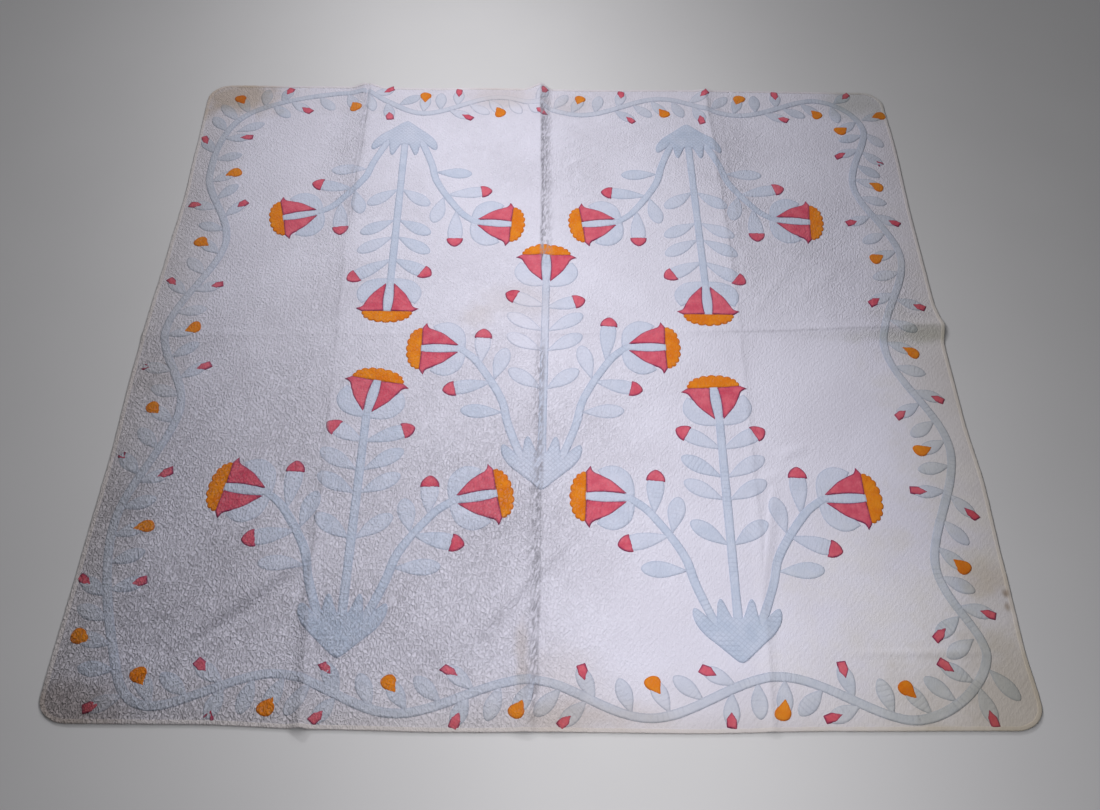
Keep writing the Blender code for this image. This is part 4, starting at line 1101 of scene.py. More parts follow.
def closed_curve(name, path):
    """A curve object that runs straight from each point of a path to the next and back to the first."""
    data = bpy.data.curves.new(name, "CURVE")
    data.dimensions = "3D"
    data.twist_mode = "Z_UP"
    spline = data.splines.new("POLY")
    spline.points.add(len(path) - 1)
    spline.points.foreach_set("co", np.column_stack([path, np.ones(len(path))]).ravel())
    spline.use_cyclic_u = True
    return put(name, data)


def grown(name, source, tree, **inputs):
    """Runs a tree on an object and gives the result as a plain mesh object."""
    modifier = source.modifiers.new("tree", "NODES")
    modifier.node_group = tree
    for socket in tree.interface.items_tree:
        label = socket.name.replace(" ", "_")
        if label in inputs:
            modifier[socket.identifier] = inputs[label]
    bpy.context.view_layer.update()
    evaluated = source.evaluated_get(bpy.context.evaluated_depsgraph_get())
    mesh = bpy.data.meshes.new_from_object(evaluated)
    mesh.name = name
    source.modifiers.remove(modifier)
    bpy.data.objects.remove(source)
    return put(name, mesh)


edge = edge_path(PATH_STEP)
edge_line = np.column_stack([edge, lift(edge[:, 0], edge[:, 1])])
BINDING = grown("binding_tape", closed_curve("edge", edge_line), SWEEP,
                Tape_width=TAPE_WIDTH, Tape_height=TAPE_TOP - TAPE_CLEAR, Clear_of_floor=TAPE_CLEAR,
                Roundness=TAPE_ROUNDNESS, Pucker_height=PUCKER_HEIGHT, Pucker_pitch=PUCKER_PITCH,
                Cloth=BINDING_COTTON)
mark(BINDING.data)
box = np.array([vertex.co for vertex in BINDING.data.vertices])
print("binding", len(BINDING.data.polygons), "faces, spans", (box.max(0) - box.min(0)).round(4))

# %% [markdown]
# ## How a patch is sewn on
#
# Each patch is cut with a few millimetres to spare, its edge is turned under and hemmed to
# the ground. So it stands about a millimetre high, with a round rim that is tucked into the
# ground. A Solidify modifier would leave a square cliff. Here the points lie in rings just
# inside the outline and then on an even lattice, a Delaunay triangulation joins them, and
# each point's height follows the ground below it and its distance from the rim.

# %% Lines
# Keeps a division by a length from being one by zero
TINY = 1e-12
CORNER_BEND = math.radians(35)


def smooth_line(points, steps=8):
    """A Catmull-Rom line through points."""
    points = np.array(points, float)
    points = np.concatenate([[2 * points[0] - points[1]], points, [2 * points[-1] - points[-2]]])
    t = np.linspace(0, 1, steps, endpoint=False)[:, None]
    parts = []
    for a, b, c, d in zip(points, points[1:], points[2:], points[3:]):
        first, second, third = c - a, 2 * a - 5 * b + 4 * c - d, 3 * b - a - 3 * c + d
        parts.append(0.5 * (2 * b + first * t + second * t ** 2 + third * t ** 3))
    return np.concatenate(parts + [points[-2:-1]])


def outline_of(runs):
    """A closed outline of smooth runs that meet in corners."""
    return np.concatenate([smooth_line(run)[:-1] for run in runs])


def run_lengths(path):
    """How far along a path each of its points lies."""
    return np.concatenate([[0], np.cumsum(np.linalg.norm(np.diff(path, axis=0), axis=1))])


def leftwards(path, closed):
    """Direction to the left of a path at each of its points."""
    forward = np.roll(path, -1, 0) - np.roll(path, 1, 0) if closed else np.gradient(path, axis=0)
    side = np.column_stack([-forward[:, 1], forward[:, 0]])
    return side / np.maximum(np.linalg.norm(side, axis=1, keepdims=True), TINY)


def even_steps(path, step, closed):
    """The same line with its points at even steps."""
    if closed:
        path = np.concatenate([path, path[:1]])
    length = run_lengths(path)
    places = np.linspace(0, length[-1], max(int(round(length[-1] / step)), 4) + 1)
    points = np.stack([np.interp(places, length, path[:, axis]) for axis in range(path.shape[1])], 1)
    return points[:-1] if closed else points


def cornered_steps(path, step):
    """Even steps round a closed outline that keep its sharp corners."""
    before = path - np.roll(path, 1, 0)
    after = np.roll(path, -1, 0) - path
    cross = before[:, 0] * after[:, 1] - before[:, 1] * after[:, 0]
    bend = np.abs(np.arctan2(cross, (before * after).sum(1)))
    corners = np.flatnonzero(bend > CORNER_BEND)
    if len(corners) < 2:
        return even_steps(path, step, True)
    looped = np.concatenate([path, path])
    ends = list(corners) + [corners[0] + len(path)]
    return np.concatenate([even_steps(looped[a:b + 1], step, False)[:-1] for a, b in zip(ends, ends[1:])])


square = np.array([(0, 0), (1, 0), (1, 1), (0, 1)])
print("a square in steps of a quarter has", len(cornered_steps(square, 0.25)), "points")

# %% Height of a patch
RINGS = (0.0006, 0.0016, 0.0034)
LAYER_HEIGHT = 0.0005
# Distance from the rim, height over the ground
HEM_PROFILE = ((0.0, -0.0006), (0.0006, 0.0001), (0.0016, 0.0006), (0.0034, 0.0010), (0.0060, 0.0009))
BRIDGED = 0.35
BRIDGE_REACH = 0.010


def rim_distance(points, path):
    """Distance of points from a closed outline, below zero outside it."""
    start, run = path, np.roll(path, -1, 0) - path
    away = points[:, None] - start
    part = np.clip((away * run).sum(2) / np.maximum((run ** 2).sum(1), TINY), 0, 1)
    distance = np.linalg.norm(away - part[..., None] * run, axis=2).min(1)
    end = start + run
    spans = (start[:, 1] > points[:, 1, None]) != (end[:, 1] > points[:, 1, None])
    rise = np.where(run[:, 1] == 0, 1, run[:, 1])
    crossing = start[:, 0] + (points[:, 1, None] - start[:, 1]) * run[:, 0] / rise
    inside = (spans & (points[:, 0, None] < crossing)).sum(1) % 2 == 1
    return np.where(inside, distance, -distance)


def laid(x, y, distance, layer):
    """Height of a patch of some layer, from its distance from the rim."""
    profile = np.array(HEM_PROFILE)
    hem = np.interp(distance, profile[:, 0], profile[:, 1])
    raised = layer * LAYER_HEIGHT * np.clip(distance / RINGS[1], 0, 1)
    bridged = BRIDGED * relief(x, y) * np.clip(distance / BRIDGE_REACH, 0, 1)
    return top(x, y) + hem + raised + bridged


print("a patch stands up to", max(row[1] for row in HEM_PROFILE) * 1000, "mm over the ground")

# %% Patches
RIM_WIDTH = 0.0056
OUTLINE_STEP = 0.0036
LATTICE_STEP = 0.0058
# Distance between the rows of the lattice, as a share of its step
LATTICE_ROWS = 0.87
# Share of a ring's distance that its points keep from the rim, or they are left out
RING_CLEAR = 0.9
MERGE = 1e-6
# A long strip: its step along, its middle row as a share of its half width, and the swing and
# pitch of its uneven width
BAND_STEP = OUTLINE_STEP * 1.15
BAND_MIDDLE = 0.42
BAND_UNEVEN = (0.05, 0.045)
# Places where the blue has faded: x, y, reach in x, reach in y, share
FADED_PLACES = ((-0.130, 0.100, 0.150, 0.100, 0.60), (-0.030, 0.000, 0.120, 0.180, 0.40),
                (-0.120, 0.930, 0.150, 0.100, 0.85), (0.300, 0.930, 0.350, 0.090, 0.20),
                (-0.930, 0.100, 0.110, 0.450, 0.20), (0.930, 0.050, 0.110, 0.350, 0.12),
                (-0.008, -0.370, 0.110, 0.080, 0.50), (-0.415, 0.770, 0.110, 0.080, 0.34),
                (0.220, -0.950, 0.150, 0.080, 0.25))


class Cloth:
    """Patches of one colour, gathered to be one mesh. Blue ones may fade with their place."""

    def __init__(self, fades=False):
        self.fades, self.parts = fades, []

    def gather(self, x, y, distance, layer, faces, flow, worn, hatched=0.0):
        """Keeps the faces, points, flow, rim, wear and hatching of one patch."""
        points = np.column_stack([x, y, laid(x, y, distance, layer)])
        rim = np.clip(distance / RIM_WIDTH, 0, 1)
        faded = soft_spots(FADED_PLACES, x, y) if self.fades else np.zeros_like(x)
        worn = np.clip(worn + faded, 0, 1)
        self.parts.append((faces, points, flow, rim, worn, np.full(len(x), hatched)))

    def patch(self, outline, layer, origin, along, polar=0.0, worn=0.0, hatched=0.0):
        """Sews on a patch. Its flow runs along a direction, or round its origin if polar is given."""
        outline = cornered_steps(np.asarray(outline, float), OUTLINE_STEP)
        area = np.cross(outline, np.roll(outline, -1, 0)).sum()
        if area < 0:
            outline = outline[::-1]
        spots = []
        for ring in RINGS:
            line = outline + leftwards(outline, True) * ring
            spots.append(line[rim_distance(line, outline) > ring * RING_CLEAR])
        low, high = outline.min(0), outline.max(0)
        columns, rows = np.meshgrid(np.arange(low[0], high[0], LATTICE_STEP),
                                    np.arange(low[1], high[1], LATTICE_STEP * LATTICE_ROWS))
        columns = columns + LATTICE_STEP / 2 * (np.arange(len(rows)) % 2)[:, None]
        lattice = np.column_stack([columns.ravel(), rows.ravel()])
        spots.append(lattice[rim_distance(lattice, outline) > RINGS[-1] + LATTICE_STEP / 3])
        spots = np.concatenate([outline] + spots)
        found = delaunay_2d_cdt([Vector(p) for p in spots], [], [list(range(len(outline)))], 0, MERGE)
        points = np.array([tuple(p) for p in found[0]])
        faces = np.array([face for face, owner in zip(found[2], found[5]) if owner])
        distance = rim_distance(points, outline)
        distance[distance < MERGE * 10] = 0
        away = points - origin
        if polar:
            flow = np.column_stack([np.arctan2(away @ (-along[1], along[0]), away @ along) * polar,
                                    np.linalg.norm(away, axis=1)])
        else:
            flow = np.column_stack([away @ along, away @ (-along[1], along[0])])
        self.gather(points[:, 0], points[:, 1], distance, layer, faces, flow, worn, hatched)

    def band(self, path, width, layer, closed=False, worn=0.0):
        """Sews on a long strip of cloth, such as a stem."""
        path = even_steps(np.asarray(path, float), BAND_STEP, closed)
        half = width / 2 * uneven(*path.T, 1, *BAND_UNEVEN, SEED["band"])
        stations = np.array([half - inset for inset in (0, *RINGS)] + [half * BAND_MIDDLE, half * 0])
        stations = np.concatenate([stations, -stations[:-1][::-1]])
        points = path[None] + stations[..., None] * leftwards(path, closed)[None]
        x, y = points[..., 0].ravel(), points[..., 1].ravel()
        distance = (half[None] - np.abs(stations)).ravel()
        number = np.arange(len(x)).reshape(stations.shape)
        after = np.roll(number, -1, 1)
        quads = np.stack([number[1:], after[1:], after[:-1], number[:-1]], -1)
        if not closed:
            quads = quads[:, :-1]
        quads = quads.reshape(-1, 4)
        faces = np.concatenate([quads[:, [0, 1, 2]], quads[:, [0, 2, 3]]])
        length = np.broadcast_to(run_lengths(path), stations.shape)
        flow = np.column_stack([length.ravel(), stations.ravel()])
        self.gather(x, y, distance, layer, faces, flow, worn)

    def piece(self, name, finish):
        """All the patches so far as one mesh object."""
        faces, *rows = zip(*self.parts)
        starts = np.cumsum([0, *map(len, rows[0])])
        faces = np.concatenate([some + start for some, start in zip(faces, starts)])
        points, flow, rim, worn, hatched = (np.concatenate(row) for row in rows)
        made = new_piece(name, points, faces, finish, flow, rim=rim, worn=worn, hatched=hatched)
        print(name, len(made.data.polygons), "triangles")
        return made

# %% [markdown]
# ## Leaves, petals and crowns
#
# The motifs are ordinary ones, drawn from a few sizes: a leaf whose half width is a power of
# a sine of the way along it, a petal with a hooked outer corner, and a crown whose dome is cut
# into nine scallops. Curves with Bézier handles could hold them too, but formulas and short
# lists keep all fifteen flowers alike and easy to change.

# %% Motif outlines
# Flower, right half, drawn pointing up from the top of its stem, in smooth runs: x, y
PETAL_RUNS = (
    ((0.0085, 0.000), (0.0268, 0.0195), (0.046, 0.042), (0.0585, 0.066), (0.0645, 0.0790),
     (0.0718, 0.0850), (0.0830, 0.0885)),
    ((0.0830, 0.0885), (0.0740, 0.0945), (0.0650, 0.1000)),
    ((0.0650, 0.1000), (0.038, 0.0990), (0.0060, 0.0975)),
    ((0.0060, 0.0975), (0.0095, 0.088), (0.0118, 0.060), (0.0108, 0.030), (0.0085, 0.000)),
)
CALYX_RUNS = (
    ((0.000, -0.014), (0.034, -0.013), (0.064, -0.002), (0.083, 0.024), (0.083, 0.050), (0.070, 0.074)),
    ((0.070, 0.074), (0.050, 0.060), (0.030, 0.030), (0.000, 0.004)),
)
TONGUE_RUNS = (
    ((0.0075, -0.008), (0.0120, 0.025), (0.0140, 0.060), (0.0110, 0.1000)),
    ((0.0110, 0.1000), (-0.0110, 0.1000)),
    ((-0.0110, 0.1000), (-0.0140, 0.060), (-0.0120, 0.025), (-0.0075, -0.008)),
    ((-0.0075, -0.008), (0.0075, -0.008)),
)
# Red cap on the end of a leaf: x across, y out along the leaf
CAP_RUNS = (
    ((-0.0230, 0.000), (0.000, -0.0015), (0.0230, 0.000)),
    ((0.0230, 0.000), (0.0212, 0.0120), (0.0130, 0.0245), (0.0000, 0.0320), (-0.0130, 0.0245),
     (-0.0212, 0.0120), (-0.0230, 0.000)),
)
# Tips of the border leaves: x across, y out along the leaf
RED_TIP_RUNS = (
    ((0.000, -0.009), (0.0122, 0.010)),
    ((0.0122, 0.010), (0.0104, 0.029)),
    ((0.0104, 0.029), (-0.0094, 0.031)),
    ((-0.0094, 0.031), (-0.0112, 0.011)),
    ((-0.0112, 0.011), (0.000, -0.009)),
)
ORANGE_TIP_RUNS = (
    ((0.000, -0.006), (0.0085, 0.008), (0.0165, 0.023), (0.0155, 0.034), (0.0070, 0.0400),
     (-0.0060, 0.0405), (-0.0150, 0.035), (-0.0175, 0.023), (-0.0100, 0.007), (0.000, -0.006)),
)
WORN_TIP_RUNS = (
    ((0.000, -0.004), (0.004, 0.010), (0.012, 0.021)),
    ((0.012, 0.021), (0.008, 0.027), (0.001, 0.017)),
    ((0.001, 0.017), (-0.006, 0.029)),
    ((-0.006, 0.029), (-0.011, 0.021), (-0.004, 0.009), (0.000, -0.004)),
)
print("a petal's outline has", len(outline_of(PETAL_RUNS)), "points")

# %% Leaves and crowns
CROWN_HALF_WIDTH = 0.0665
CROWN_FOOT = 0.0970
CROWN_TOP = 0.1370
CROWN_CENTRE = CROWN_FOOT - 0.012
CROWN_SCALLOPS = 9
SCALLOP_DEPTH = 0.0034
SCALLOP_RISE = 2.2
SCALLOP_ROUNDNESS = 0.75
DOME_SQUARENESS = 0.8
JOINT_POINTED = 1.20
TIP_BLUNTED = 0.40
LEAF_POINTS = 25
SCALLOP_POINTS = 24


def leaf_outline(joint, tip, width, lean, fullness):
    """A leaf: lean above 1 moves its widest place outwards, fullness below 1 blunts its ends,
    the tip more than the joint."""
    t = 0.5 - 0.5 * np.cos(np.linspace(0, math.pi, LEAF_POINTS))
    half = width / 2 * np.sin(math.pi * t ** lean) ** (fullness * (JOINT_POINTED - TIP_BLUNTED * t))
    joint, tip = np.array(joint), np.array(tip)
    along = tip - joint
    across = np.array([-along[1], along[0]]) / np.linalg.norm(along)
    right = joint + t[:, None] * along - half[:, None] * across
    left = joint + t[:, None] * along + half[:, None] * across
    return np.concatenate([right, left[-2:0:-1]])


def crown_outline():
    angle = np.linspace(0, math.pi, SCALLOP_POINTS * CROWN_SCALLOPS + 1)
    bow = np.abs(np.sin(CROWN_SCALLOPS * angle)) ** SCALLOP_ROUNDNESS
    notch = SCALLOP_DEPTH / CROWN_HALF_WIDTH * (1 - bow)
    rise = (CROWN_TOP - CROWN_FOOT) * np.sin(angle) ** DOME_SQUARENESS
    return np.column_stack([CROWN_HALF_WIDTH * np.cos(angle) * (1 - notch),
                            CROWN_FOOT + rise * (1 - SCALLOP_RISE * notch * (rise > 0))])


def mirrored(points):
    return np.asarray(points)[::-1] * (-1, 1)


def turned(points, base, degrees):
    """Points of a shape drawn at the origin, turned and moved to its base."""
    angle = math.radians(degrees)
    turn = np.array([[math.cos(angle), math.sin(angle)], [-math.sin(angle), math.cos(angle)]])
    return np.asarray(points, float) @ turn + np.asarray(base)


print("a crown's outline has", len(crown_outline()), "points")

# %% [markdown]
# ## The border vine
#
# One long bias strip waves round the border, with leaves growing on the hollow side of each
# wave. The crests of the waves are a table, and a smooth line runs through them. Each leaf
# starts at a length along that line, and the ones at the ends and the middle of a wave carry
# a red or an orange tip. Some red tips have worn away to scraps.

# %% Vine tables
VINE_WIDTH = 0.021
# x, y, side of the leaves (1 towards the middle), then the first, middle and last leaf: place
# along the vine from the crest, angle off the vine in degrees
VINE_CRESTS = (
    (0.760, -0.950, 1, (-0.160, 80), (-0.034, 70), (0.129, 50)),
    (0.490, -0.862, -1, (-0.173, 50), (-0.010, 85), (0.107, 60)),
    (0.220, -0.950, 1, (-0.195, 50), (-0.040, 80), (0.118, 40)),
    (-0.030, -0.872, -1, (-0.130, 70), (-0.013, 65), (0.126, 45)),
    (-0.300, -0.944, 1, (-0.170, 60), (-0.026, 65), (0.120, 35)),
    (-0.550, -0.863, -1, (-0.138, 80), (-0.019, 75), (0.106, 50)),
    (-0.805, -0.932, 1, (-0.161, 55), (-0.014, 60), None),
    (-0.902, -0.800, -1, (-0.122, 70), (-0.006, 55), (0.108, 40)),
    (-0.964, -0.515, 1, (-0.171, 85), (-0.038, 70), (0.103, 50)),
    (-0.880, -0.210, -1, (-0.195, 65), (-0.043, 65), (0.119, 50)),
    (-0.964, 0.035, 1, (-0.170, 80), (-0.026, 80), (0.130, 45)),
    (-0.866, 0.330, -1, (-0.200, 70), (-0.043, 65), (0.135, 50)),
    (-0.957, 0.590, 1, (-0.180, 65), (-0.032, 70), (0.150, 70)),
    (-0.893, 0.843, -1, (-0.185, 40), (0.007, 75), (0.109, 50)),
    (-0.585, 0.948, 1, (-0.195, 55), (-0.021, 70), (0.109, 45)),
    (-0.372, 0.860, -1, (-0.175, 50), (0.000, 85), (0.106, 60)),
    (-0.145, 0.935, 1, (-0.167, 50), (-0.036, 70), (0.085, 30)),
    (0.100, 0.860, -1, (-0.145, 85), (-0.031, 75), (0.114, 50)),
    (0.340, 0.936, 1, (-0.153, 65), (-0.030, 70), (0.100, 45)),
    (0.575, 0.866, -1, (-0.162, 60), (-0.018, 80), (0.120, 65)),
    (0.812, 0.934, 1, (-0.179, 45), (-0.052, 65), None),
    (0.936, 0.815, 1, None, (-0.035, 75), (0.091, 45)),
    (0.870, 0.570, -1, (-0.158, 65), (-0.033, 75), (0.110, 35)),
    (0.955, 0.300, 1, (-0.168, 90), (-0.029, 75), (0.126, 40)),
    (0.858, -0.005, -1, (-0.175, 90), (-0.023, 70), (0.135, 40)),
    (0.960, -0.300, 1, (-0.138, 85), (-0.023, 70), (0.122, 65)),
    (0.864, -0.605, -1, (-0.195, 60), (-0.049, 60), (0.101, 50)),
    (0.928, -0.820, 1, None, None, None),
)
CREST_STEPS = 24
VINE_LEAF_LENGTH = 0.083
VINE_LEAF_WIDTH = 0.036
VINE_LEAF_LEAN = 1.40
VINE_LEAF_FULLNESS = 0.68
# Leaves at the corners: joint x and y, tip x and y, kind of tip
CORNER_LEAVES = (
    (0.897, -0.874, 0.915, -0.963, "red"), (0.924, -0.838, 0.978, -0.908, None),
    (0.895, -0.722, 0.830, -0.775, "red"), (0.914, -0.774, 0.845, -0.818, None),
    (-0.915, 0.768, -0.835, 0.808, None), (-0.828, 0.896, -0.765, 0.833, None),
    (-0.912, 0.812, -0.975, 0.888, None), (0.862, 0.922, 0.920, 0.965, "red"),
    (0.935, 0.850, 1.005, 0.875, "orange"), (0.938, 0.800, 0.985, 0.735, None),
    (0.855, 0.915, 0.868, 0.838, None),
)
TIP_BACK = {"red": 0.028, "orange": 0.033}
TIP_INSIDE = 0.009
TIP_SHRINK = 0.97
# Distance along the vine over which its direction is taken
LOOK_AHEAD = 0.004
# Places of the red tips that are worn to scraps
WORN_TIPS = ((-0.678, -0.951), (-0.985, -0.084), (-0.986, -0.357), (0.966, 0.675))
WORN_REACH = 0.035
print(len(VINE_CRESTS), "crests of the vine and", len(CORNER_LEAVES), "leaves at its corners")

# %% Places of the border leaves
def vine_line():
    crests = np.array([row[:2] for row in VINE_CRESTS])
    looped = np.concatenate([crests[-1:], crests, crests[:2]])
    return smooth_line(looped, CREST_STEPS)[CREST_STEPS:CREST_STEPS * (len(crests) + 1)]


def crest_leaves(first, middle, last):
    """Leaves of one crest, up to five, as place along the vine, angle and kind of tip."""
    found = []
    for end in (first, last):
        if end:
            found += [(*end, "red"), ((end[0] + middle[0]) / 2, (end[1] + middle[1]) / 2, None)]
    return found + ([(*middle, "orange")] if middle else [])


def border_leaves():
    """Every leaf of the border: its joint, its tip and its kind."""
    line = vine_line()
    ends = np.concatenate([line, line[:1]])
    length = run_lengths(ends)
    leaves = [(np.array(row[0:2]), np.array(row[2:4]), row[4]) for row in CORNER_LEAVES]
    for crest, row in enumerate(VINE_CRESTS):
        for offset, angle, kind in crest_leaves(*row[3:]):
            place = (length[crest * CREST_STEPS] + offset) % length[-1]
            joint, later = (np.array([np.interp((place + more) % length[-1], length, ends[:, axis])
                                      for axis in (0, 1)]) for more in (0, LOOK_AHEAD))
            way = turned([unit(later - joint)], (0, 0), -row[2] * angle)[0]
            leaves.append((joint, joint + VINE_LEAF_LENGTH * way, kind))
    return leaves


def kept_inside(joint, tip):
    """The tip of a leaf, drawn back until it clears the binding."""
    while from_edge(*tip) < TIP_INSIDE:
        tip = joint + (tip - joint) * TIP_SHRINK
    return tip


def unit(vector):
    return vector / np.linalg.norm(vector)


def heading(along):
    """Degrees by which a shape that points up is turned to point along a direction."""
    return math.degrees(math.atan2(along[1], along[0])) - 90


print(len(border_leaves()), "leaves in the border")

# %% Vine and its leaves
# Least and most wear of a leaf and of a tip, size and slant of a tip
BORDER_LEAF_WEAR = (0.05, 0.35)
TIP_WEAR = (0.0, 0.25)
TIP_SIZE = (0.94, 1.12)
TIP_SLANT = (-0.2, 0.2)
VINE_WEAR = 0.08

vine, red_tips, orange_tips = Cloth(fades=True), Cloth(), Cloth()
random = np.random.default_rng(SEED["border"])
for joint, tip, kind in border_leaves():
    tip = kept_inside(joint, tip)
    along = unit(tip - joint)
    outline = leaf_outline(joint, tip, VINE_LEAF_WIDTH, VINE_LEAF_LEAN, VINE_LEAF_FULLNESS)
    vine.patch(outline, 0, joint, along, worn=random.uniform(*BORDER_LEAF_WEAR))
    if kind is None:
        continue
    tips, runs = (red_tips, RED_TIP_RUNS) if kind == "red" else (orange_tips, ORANGE_TIP_RUNS)
    if kind == "red" and min(np.linalg.norm(tip - place) for place in WORN_TIPS) < WORN_REACH:
        runs = WORN_TIP_RUNS
    shape = outline_of(runs) * random.uniform(*TIP_SIZE, 2)
    shape[:, 0] += shape[:, 1] * random.uniform(*TIP_SLANT)
    shape = turned(shape, tip - along * TIP_BACK[kind], heading(along))
    tips.patch(shape, 1, tip, along, worn=random.uniform(*TIP_WEAR))
vine.band(vine_line(), VINE_WIDTH, 1, closed=True, worn=VINE_WEAR)
VINE = vine.piece("vine_cloth", VINE_COTTON)
RED_TIPS = red_tips.piece("red_tips", RED_COTTON)
ORANGE_TIPS = orange_tips.piece("orange_tips", ORANGE_COTTON)

# %% [markdown]
# ## The five sprays
#
# Each spray grows from a spiky tuft: a straight middle stem with four pairs of leaves, two
# bent side stems with four leaves each, and three flowers. The quilter cut them from the
# same templates, then laid each a little differently, so a row of a table holds each one's
# own places and tilts.

# %% Spray tables
# Name, base x, base y, turn, then the top, left and right flower: x, y, tilt
SPRAYS = (
    ("low_left", -0.430, -0.825, 0.0, (0.000, 0.608, -10.0), (-0.207, 0.388, 8.0), (0.225, 0.372, 11.0)),
    ("low_right", 0.415, -0.830, 0.0, (0.005, 0.600, 4.0), (-0.222, 0.387, 2.0), (0.225, 0.388, 2.0)),
    ("centre", -0.008, -0.420, 0.0, (0.008, 0.620, 0.0), (-0.207, 0.400, 0.0), (0.213, 0.410, 0.0)),
    ("up_left", -0.415, 0.820, 180.0, (-0.005, 0.623, 0.0), (-0.220, 0.403, 4.0), (0.215, 0.372, 14.0)),
    ("up_right", 0.412, 0.820, 180.0, (-0.008, 0.623, 0.0), (-0.218, 0.382, 5.0), (0.217, 0.397, 7.0)),
)
STEM_WIDTH = 0.021
CENTRE_STEM_START = 0.060
SIDE_STEM = ((0.030, 0.045), (0.045, 0.075), (0.068, 0.130), (0.086, 0.180), (0.099, 0.230),
             (0.120, 0.272), (0.150, 0.318), (0.183, 0.360), (0.220, 0.388))
# Right half of a tuft: its outer spike, then its inner one
TUFT_RUNS = (
    ((0.000, -0.004), (0.012, 0.002), (0.045, 0.032), (0.074, 0.058), (0.091, 0.083), (0.0965, 0.104),
     (0.094, 0.117), (0.087, 0.118), (0.076, 0.110), (0.062, 0.096), (0.049, 0.080)),
    ((0.049, 0.080), (0.044, 0.108), (0.041, 0.130), (0.034, 0.141), (0.027, 0.134), (0.019, 0.114),
     (0.012, 0.098)),
    ((0.012, 0.098), (0.000, 0.098)),
)
# Parts of the stem's height for joint and tip, reach from the stem, and the kind of tip
CENTRE_LEAVES = ((0.865, 0.955, 0.100, "red"), (0.732, 0.832, 0.098, None),
                 (0.633, 0.722, 0.096, None), (0.440, 0.548, 0.087, None))
# Joint x and y, tip x and y, and the kind of tip
SIDE_LEAVES = ((0.164, 0.345, 0.166, 0.466, "red"), (0.128, 0.292, 0.104, 0.392, None),
               (0.130, 0.292, 0.243, 0.268, "red"), (0.092, 0.205, 0.202, 0.211, None))
# Width, lean and fullness of a leaf, and of one whose end is hidden by a cap
BARE_LEAF = (0.042, 1.60, 0.62)
CAPPED_LEAF = (0.043, 2.20, 0.32)
# Leaves that were laid a little off their template: place of the tip, how far it is moved
LEAF_SHIFTS = (
    (-0.523, -0.245, 0.015, -0.004), (-0.342, -0.246, 0.013, -0.015), (-0.259, -0.390, -0.008, -0.014),
    (0.245, -0.373, 0.013, -0.010), (0.649, -0.556, -0.003, -0.012), (0.508, 0.237, 0.002, -0.016),
    (0.147, 0.071, 0.015, 0.001), (0.087, 0.172, -0.004, -0.030), (-0.158, 0.057, -0.002, -0.026),
    (-0.503, 0.236, -0.008, -0.019), (0.180, 0.551, -0.011, -0.010), (-0.185, 0.548, 0.011, -0.007),
    (-0.577, 0.395, 0.012, -0.006), (0.642, 0.559, 0.010, 0.005), (-0.093, 0.172, 0.002, -0.011),
)
LEAF_SHIFT_REACH = 0.030
CAP_BACK = 0.024
CAPPED_LEAF_CUT = 0.012
# Least and most wear of each kind of patch that varies
WEAR = {"calyx": (0.30, 0.50), "petal": (0.0, 0.15), "leaf": (0.20, 0.55), "cap": (0.0, 0.15)}
TONGUE_WEAR = 0.25
STEM_WEAR = 0.12
STEM_PARTS = (0, 0.25, 0.5, 0.75, 1)
print("sprays:", [row[0] for row in SPRAYS])

# %% Flower and spray
def make_flower(foot, degrees, pale, random):
    """One flower. Gives the cloths of its two petals and of its crown."""
    up = unit(turned([(0, 1)], (0, 0), degrees)[0])
    for runs in (outline_of(CALYX_RUNS), mirrored(outline_of(CALYX_RUNS))):
        pale.patch(turned(runs, foot, degrees), 0, foot, up, worn=random.uniform(*WEAR["calyx"]))
    pale.patch(turned(outline_of(TONGUE_RUNS), foot, degrees), 1, foot, up, worn=TONGUE_WEAR)
    petals = []
    for shape in (mirrored(outline_of(PETAL_RUNS)), outline_of(PETAL_RUNS)):
        cloth = Cloth()
        cloth.patch(turned(shape, foot, degrees), 2, foot, up, worn=random.uniform(*WEAR["petal"]))
        petals.append(cloth)
    crown = Cloth()
    centre = turned([(0, CROWN_CENTRE)], foot, degrees)[0]
    polar = CROWN_SCALLOPS * CROWN_LINE_PITCH / math.pi
    crown.patch(turned(crown_outline(), foot, degrees), 1, centre, up, polar=polar)
    return petals, crown


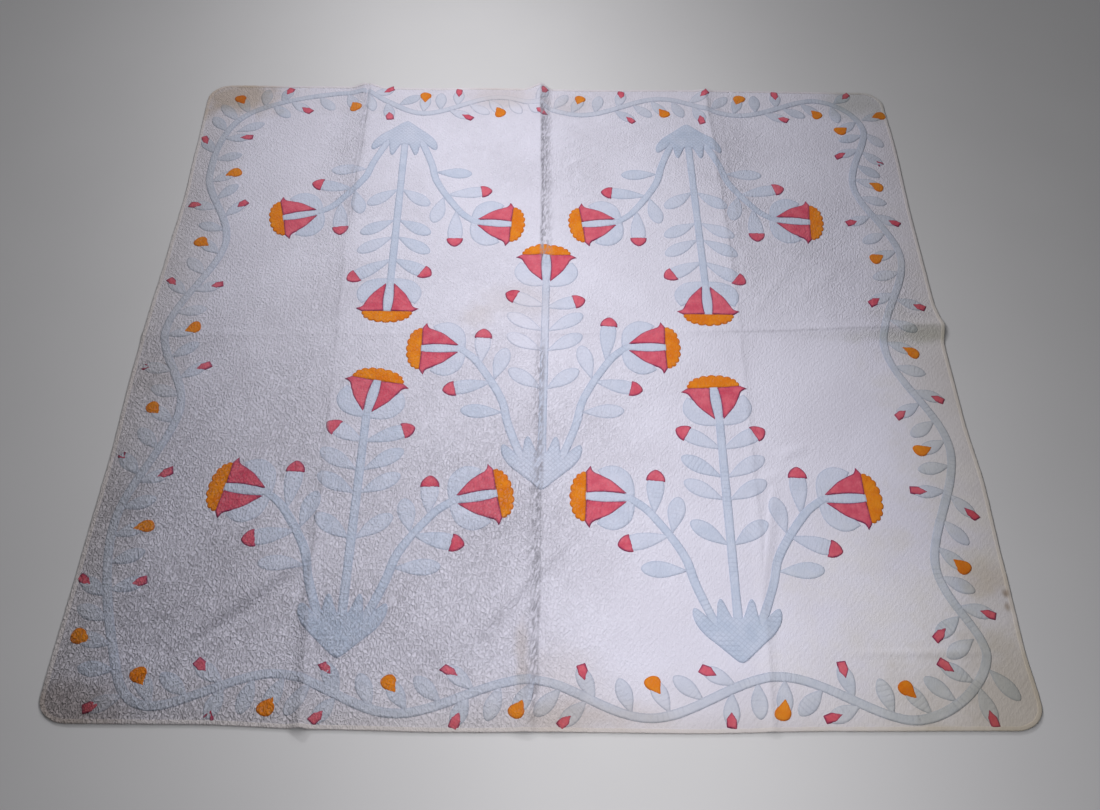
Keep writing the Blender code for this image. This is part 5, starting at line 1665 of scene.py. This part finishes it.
def make_spray(row, seed, caps):
    """One spray. Gives its pieces by the nodes that they replace, and adds its red caps to a cloth."""
    name, base_x, base_y, turn, top_flower, left_flower, right_flower = row
    base = np.array([base_x, base_y])
    pale, made = Cloth(fades=True), {}
    random = np.random.default_rng(seed)

    def place(points):
        return turned(points, base, turn)

    def add_leaf(joint, tip, kind):
        for x, y, move_x, move_y in LEAF_SHIFTS:
            if math.hypot(tip[0] - x, tip[1] - y) < LEAF_SHIFT_REACH:
                tip = tip + (move_x, move_y)
                break
        along = unit(tip - joint)
        end = tip - along * CAPPED_LEAF_CUT if kind else tip
        shape = leaf_outline(joint, end, *(CAPPED_LEAF if kind else BARE_LEAF))
        pale.patch(shape, 0, joint, along, worn=random.uniform(*WEAR["leaf"]))
        if kind:
            shape = turned(outline_of(CAP_RUNS), tip - along * CAP_BACK, heading(along))
            caps.patch(shape, 1, tip, along, worn=random.uniform(*WEAR["cap"]))

    aside, height, tilt = top_flower
    for joint, tip, reach, kind in CENTRE_LEAVES:
        for side in (-1, 1):
            ends = ((aside * joint, height * joint), (aside * joint + side * reach, height * tip))
            add_leaf(*place(ends), kind)
    flowers = [("top", top_flower, tilt)]
    stem_height = height - CENTRE_STEM_START
    stems = [[(aside * part, CENTRE_STEM_START + stem_height * part) for part in STEM_PARTS]]
    for label, side, flower in (("left", -1, left_flower), ("right", 1, right_flower)):
        last = SIDE_STEM[-1]
        shift = (side * flower[0] - last[0], flower[1] - last[1])

        def bent(x, y):
            part = (y / last[1]) ** 2
            return (side * (x + shift[0] * part), y + shift[1] * part)

        stems.append([bent(x, y) for x, y in SIDE_STEM])
        for joint_x, joint_y, tip_x, tip_y, kind in SIDE_LEAVES:
            add_leaf(*place([bent(joint_x, joint_y), bent(tip_x, tip_y)]), kind)
        flowers.append((label, flower, -side * (90 - flower[2])))
    for stem in stems:
        pale.band(smooth_line(place(stem)), STEM_WIDTH, 1, worn=STEM_WEAR)
    half = outline_of(TUFT_RUNS)
    tuft = np.concatenate([half, mirrored(half)[:-1]])
    pale.patch(place(tuft), 2, base, unit(place([(0, 1)])[0] - base), hatched=1.0)
    for label, flower, degrees in flowers:
        foot = place([flower[:2]])[0]
        petals, crown = make_flower(foot, degrees + turn, pale, random)
        for hand, petal in zip(("first", "second"), petals):
            node = f"petal_{name}_{label}_{hand}"
            made[node] = petal.piece("cloth_" + node, RED_COTTON)
        made[f"crown_{name}_{label}"] = crown.piece(f"cloth_crown_{name}_{label}", ORANGE_COTTON)
    made[f"spray_{name}"] = pale.piece("cloth_spray_" + name, BLUE_COTTON)
    return made


print("each spray has", 2 * (len(CENTRE_LEAVES) + len(SIDE_LEAVES)), "leaves")

# %% All the sprays
DRESSED, caps = {}, Cloth()
for index, row in enumerate(SPRAYS):
    DRESSED.update(make_spray(row, SEED["spray"] + index, caps))
RED_CAPS = caps.piece("red_caps", RED_COTTON)

# %% [markdown]
# ## Ride and replace
#
# Every piece rides on the one body of the quilt and takes the place of its plain solid.
# The lengths of the ground and its backing are sheets laid flat, and the binding and the
# patches are the pieces on them.

# %% Hand over to the frame
PATCHES = [VINE, RED_TIPS, ORANGE_TIPS, RED_CAPS, *DRESSED.values()]
for piece in [*GROUND, BACKING, BINDING, *PATCHES]:
    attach(piece, "root")
for piece in [*GROUND, BACKING]:
    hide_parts("quilted_ground")
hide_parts("binding")
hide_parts("border_vine")
for node, piece in DRESSED.items():
    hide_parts(node)

total = sum(len(piece.data.loops) - 2 * len(piece.data.polygons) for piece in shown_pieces())
print("triangles in all:", total)
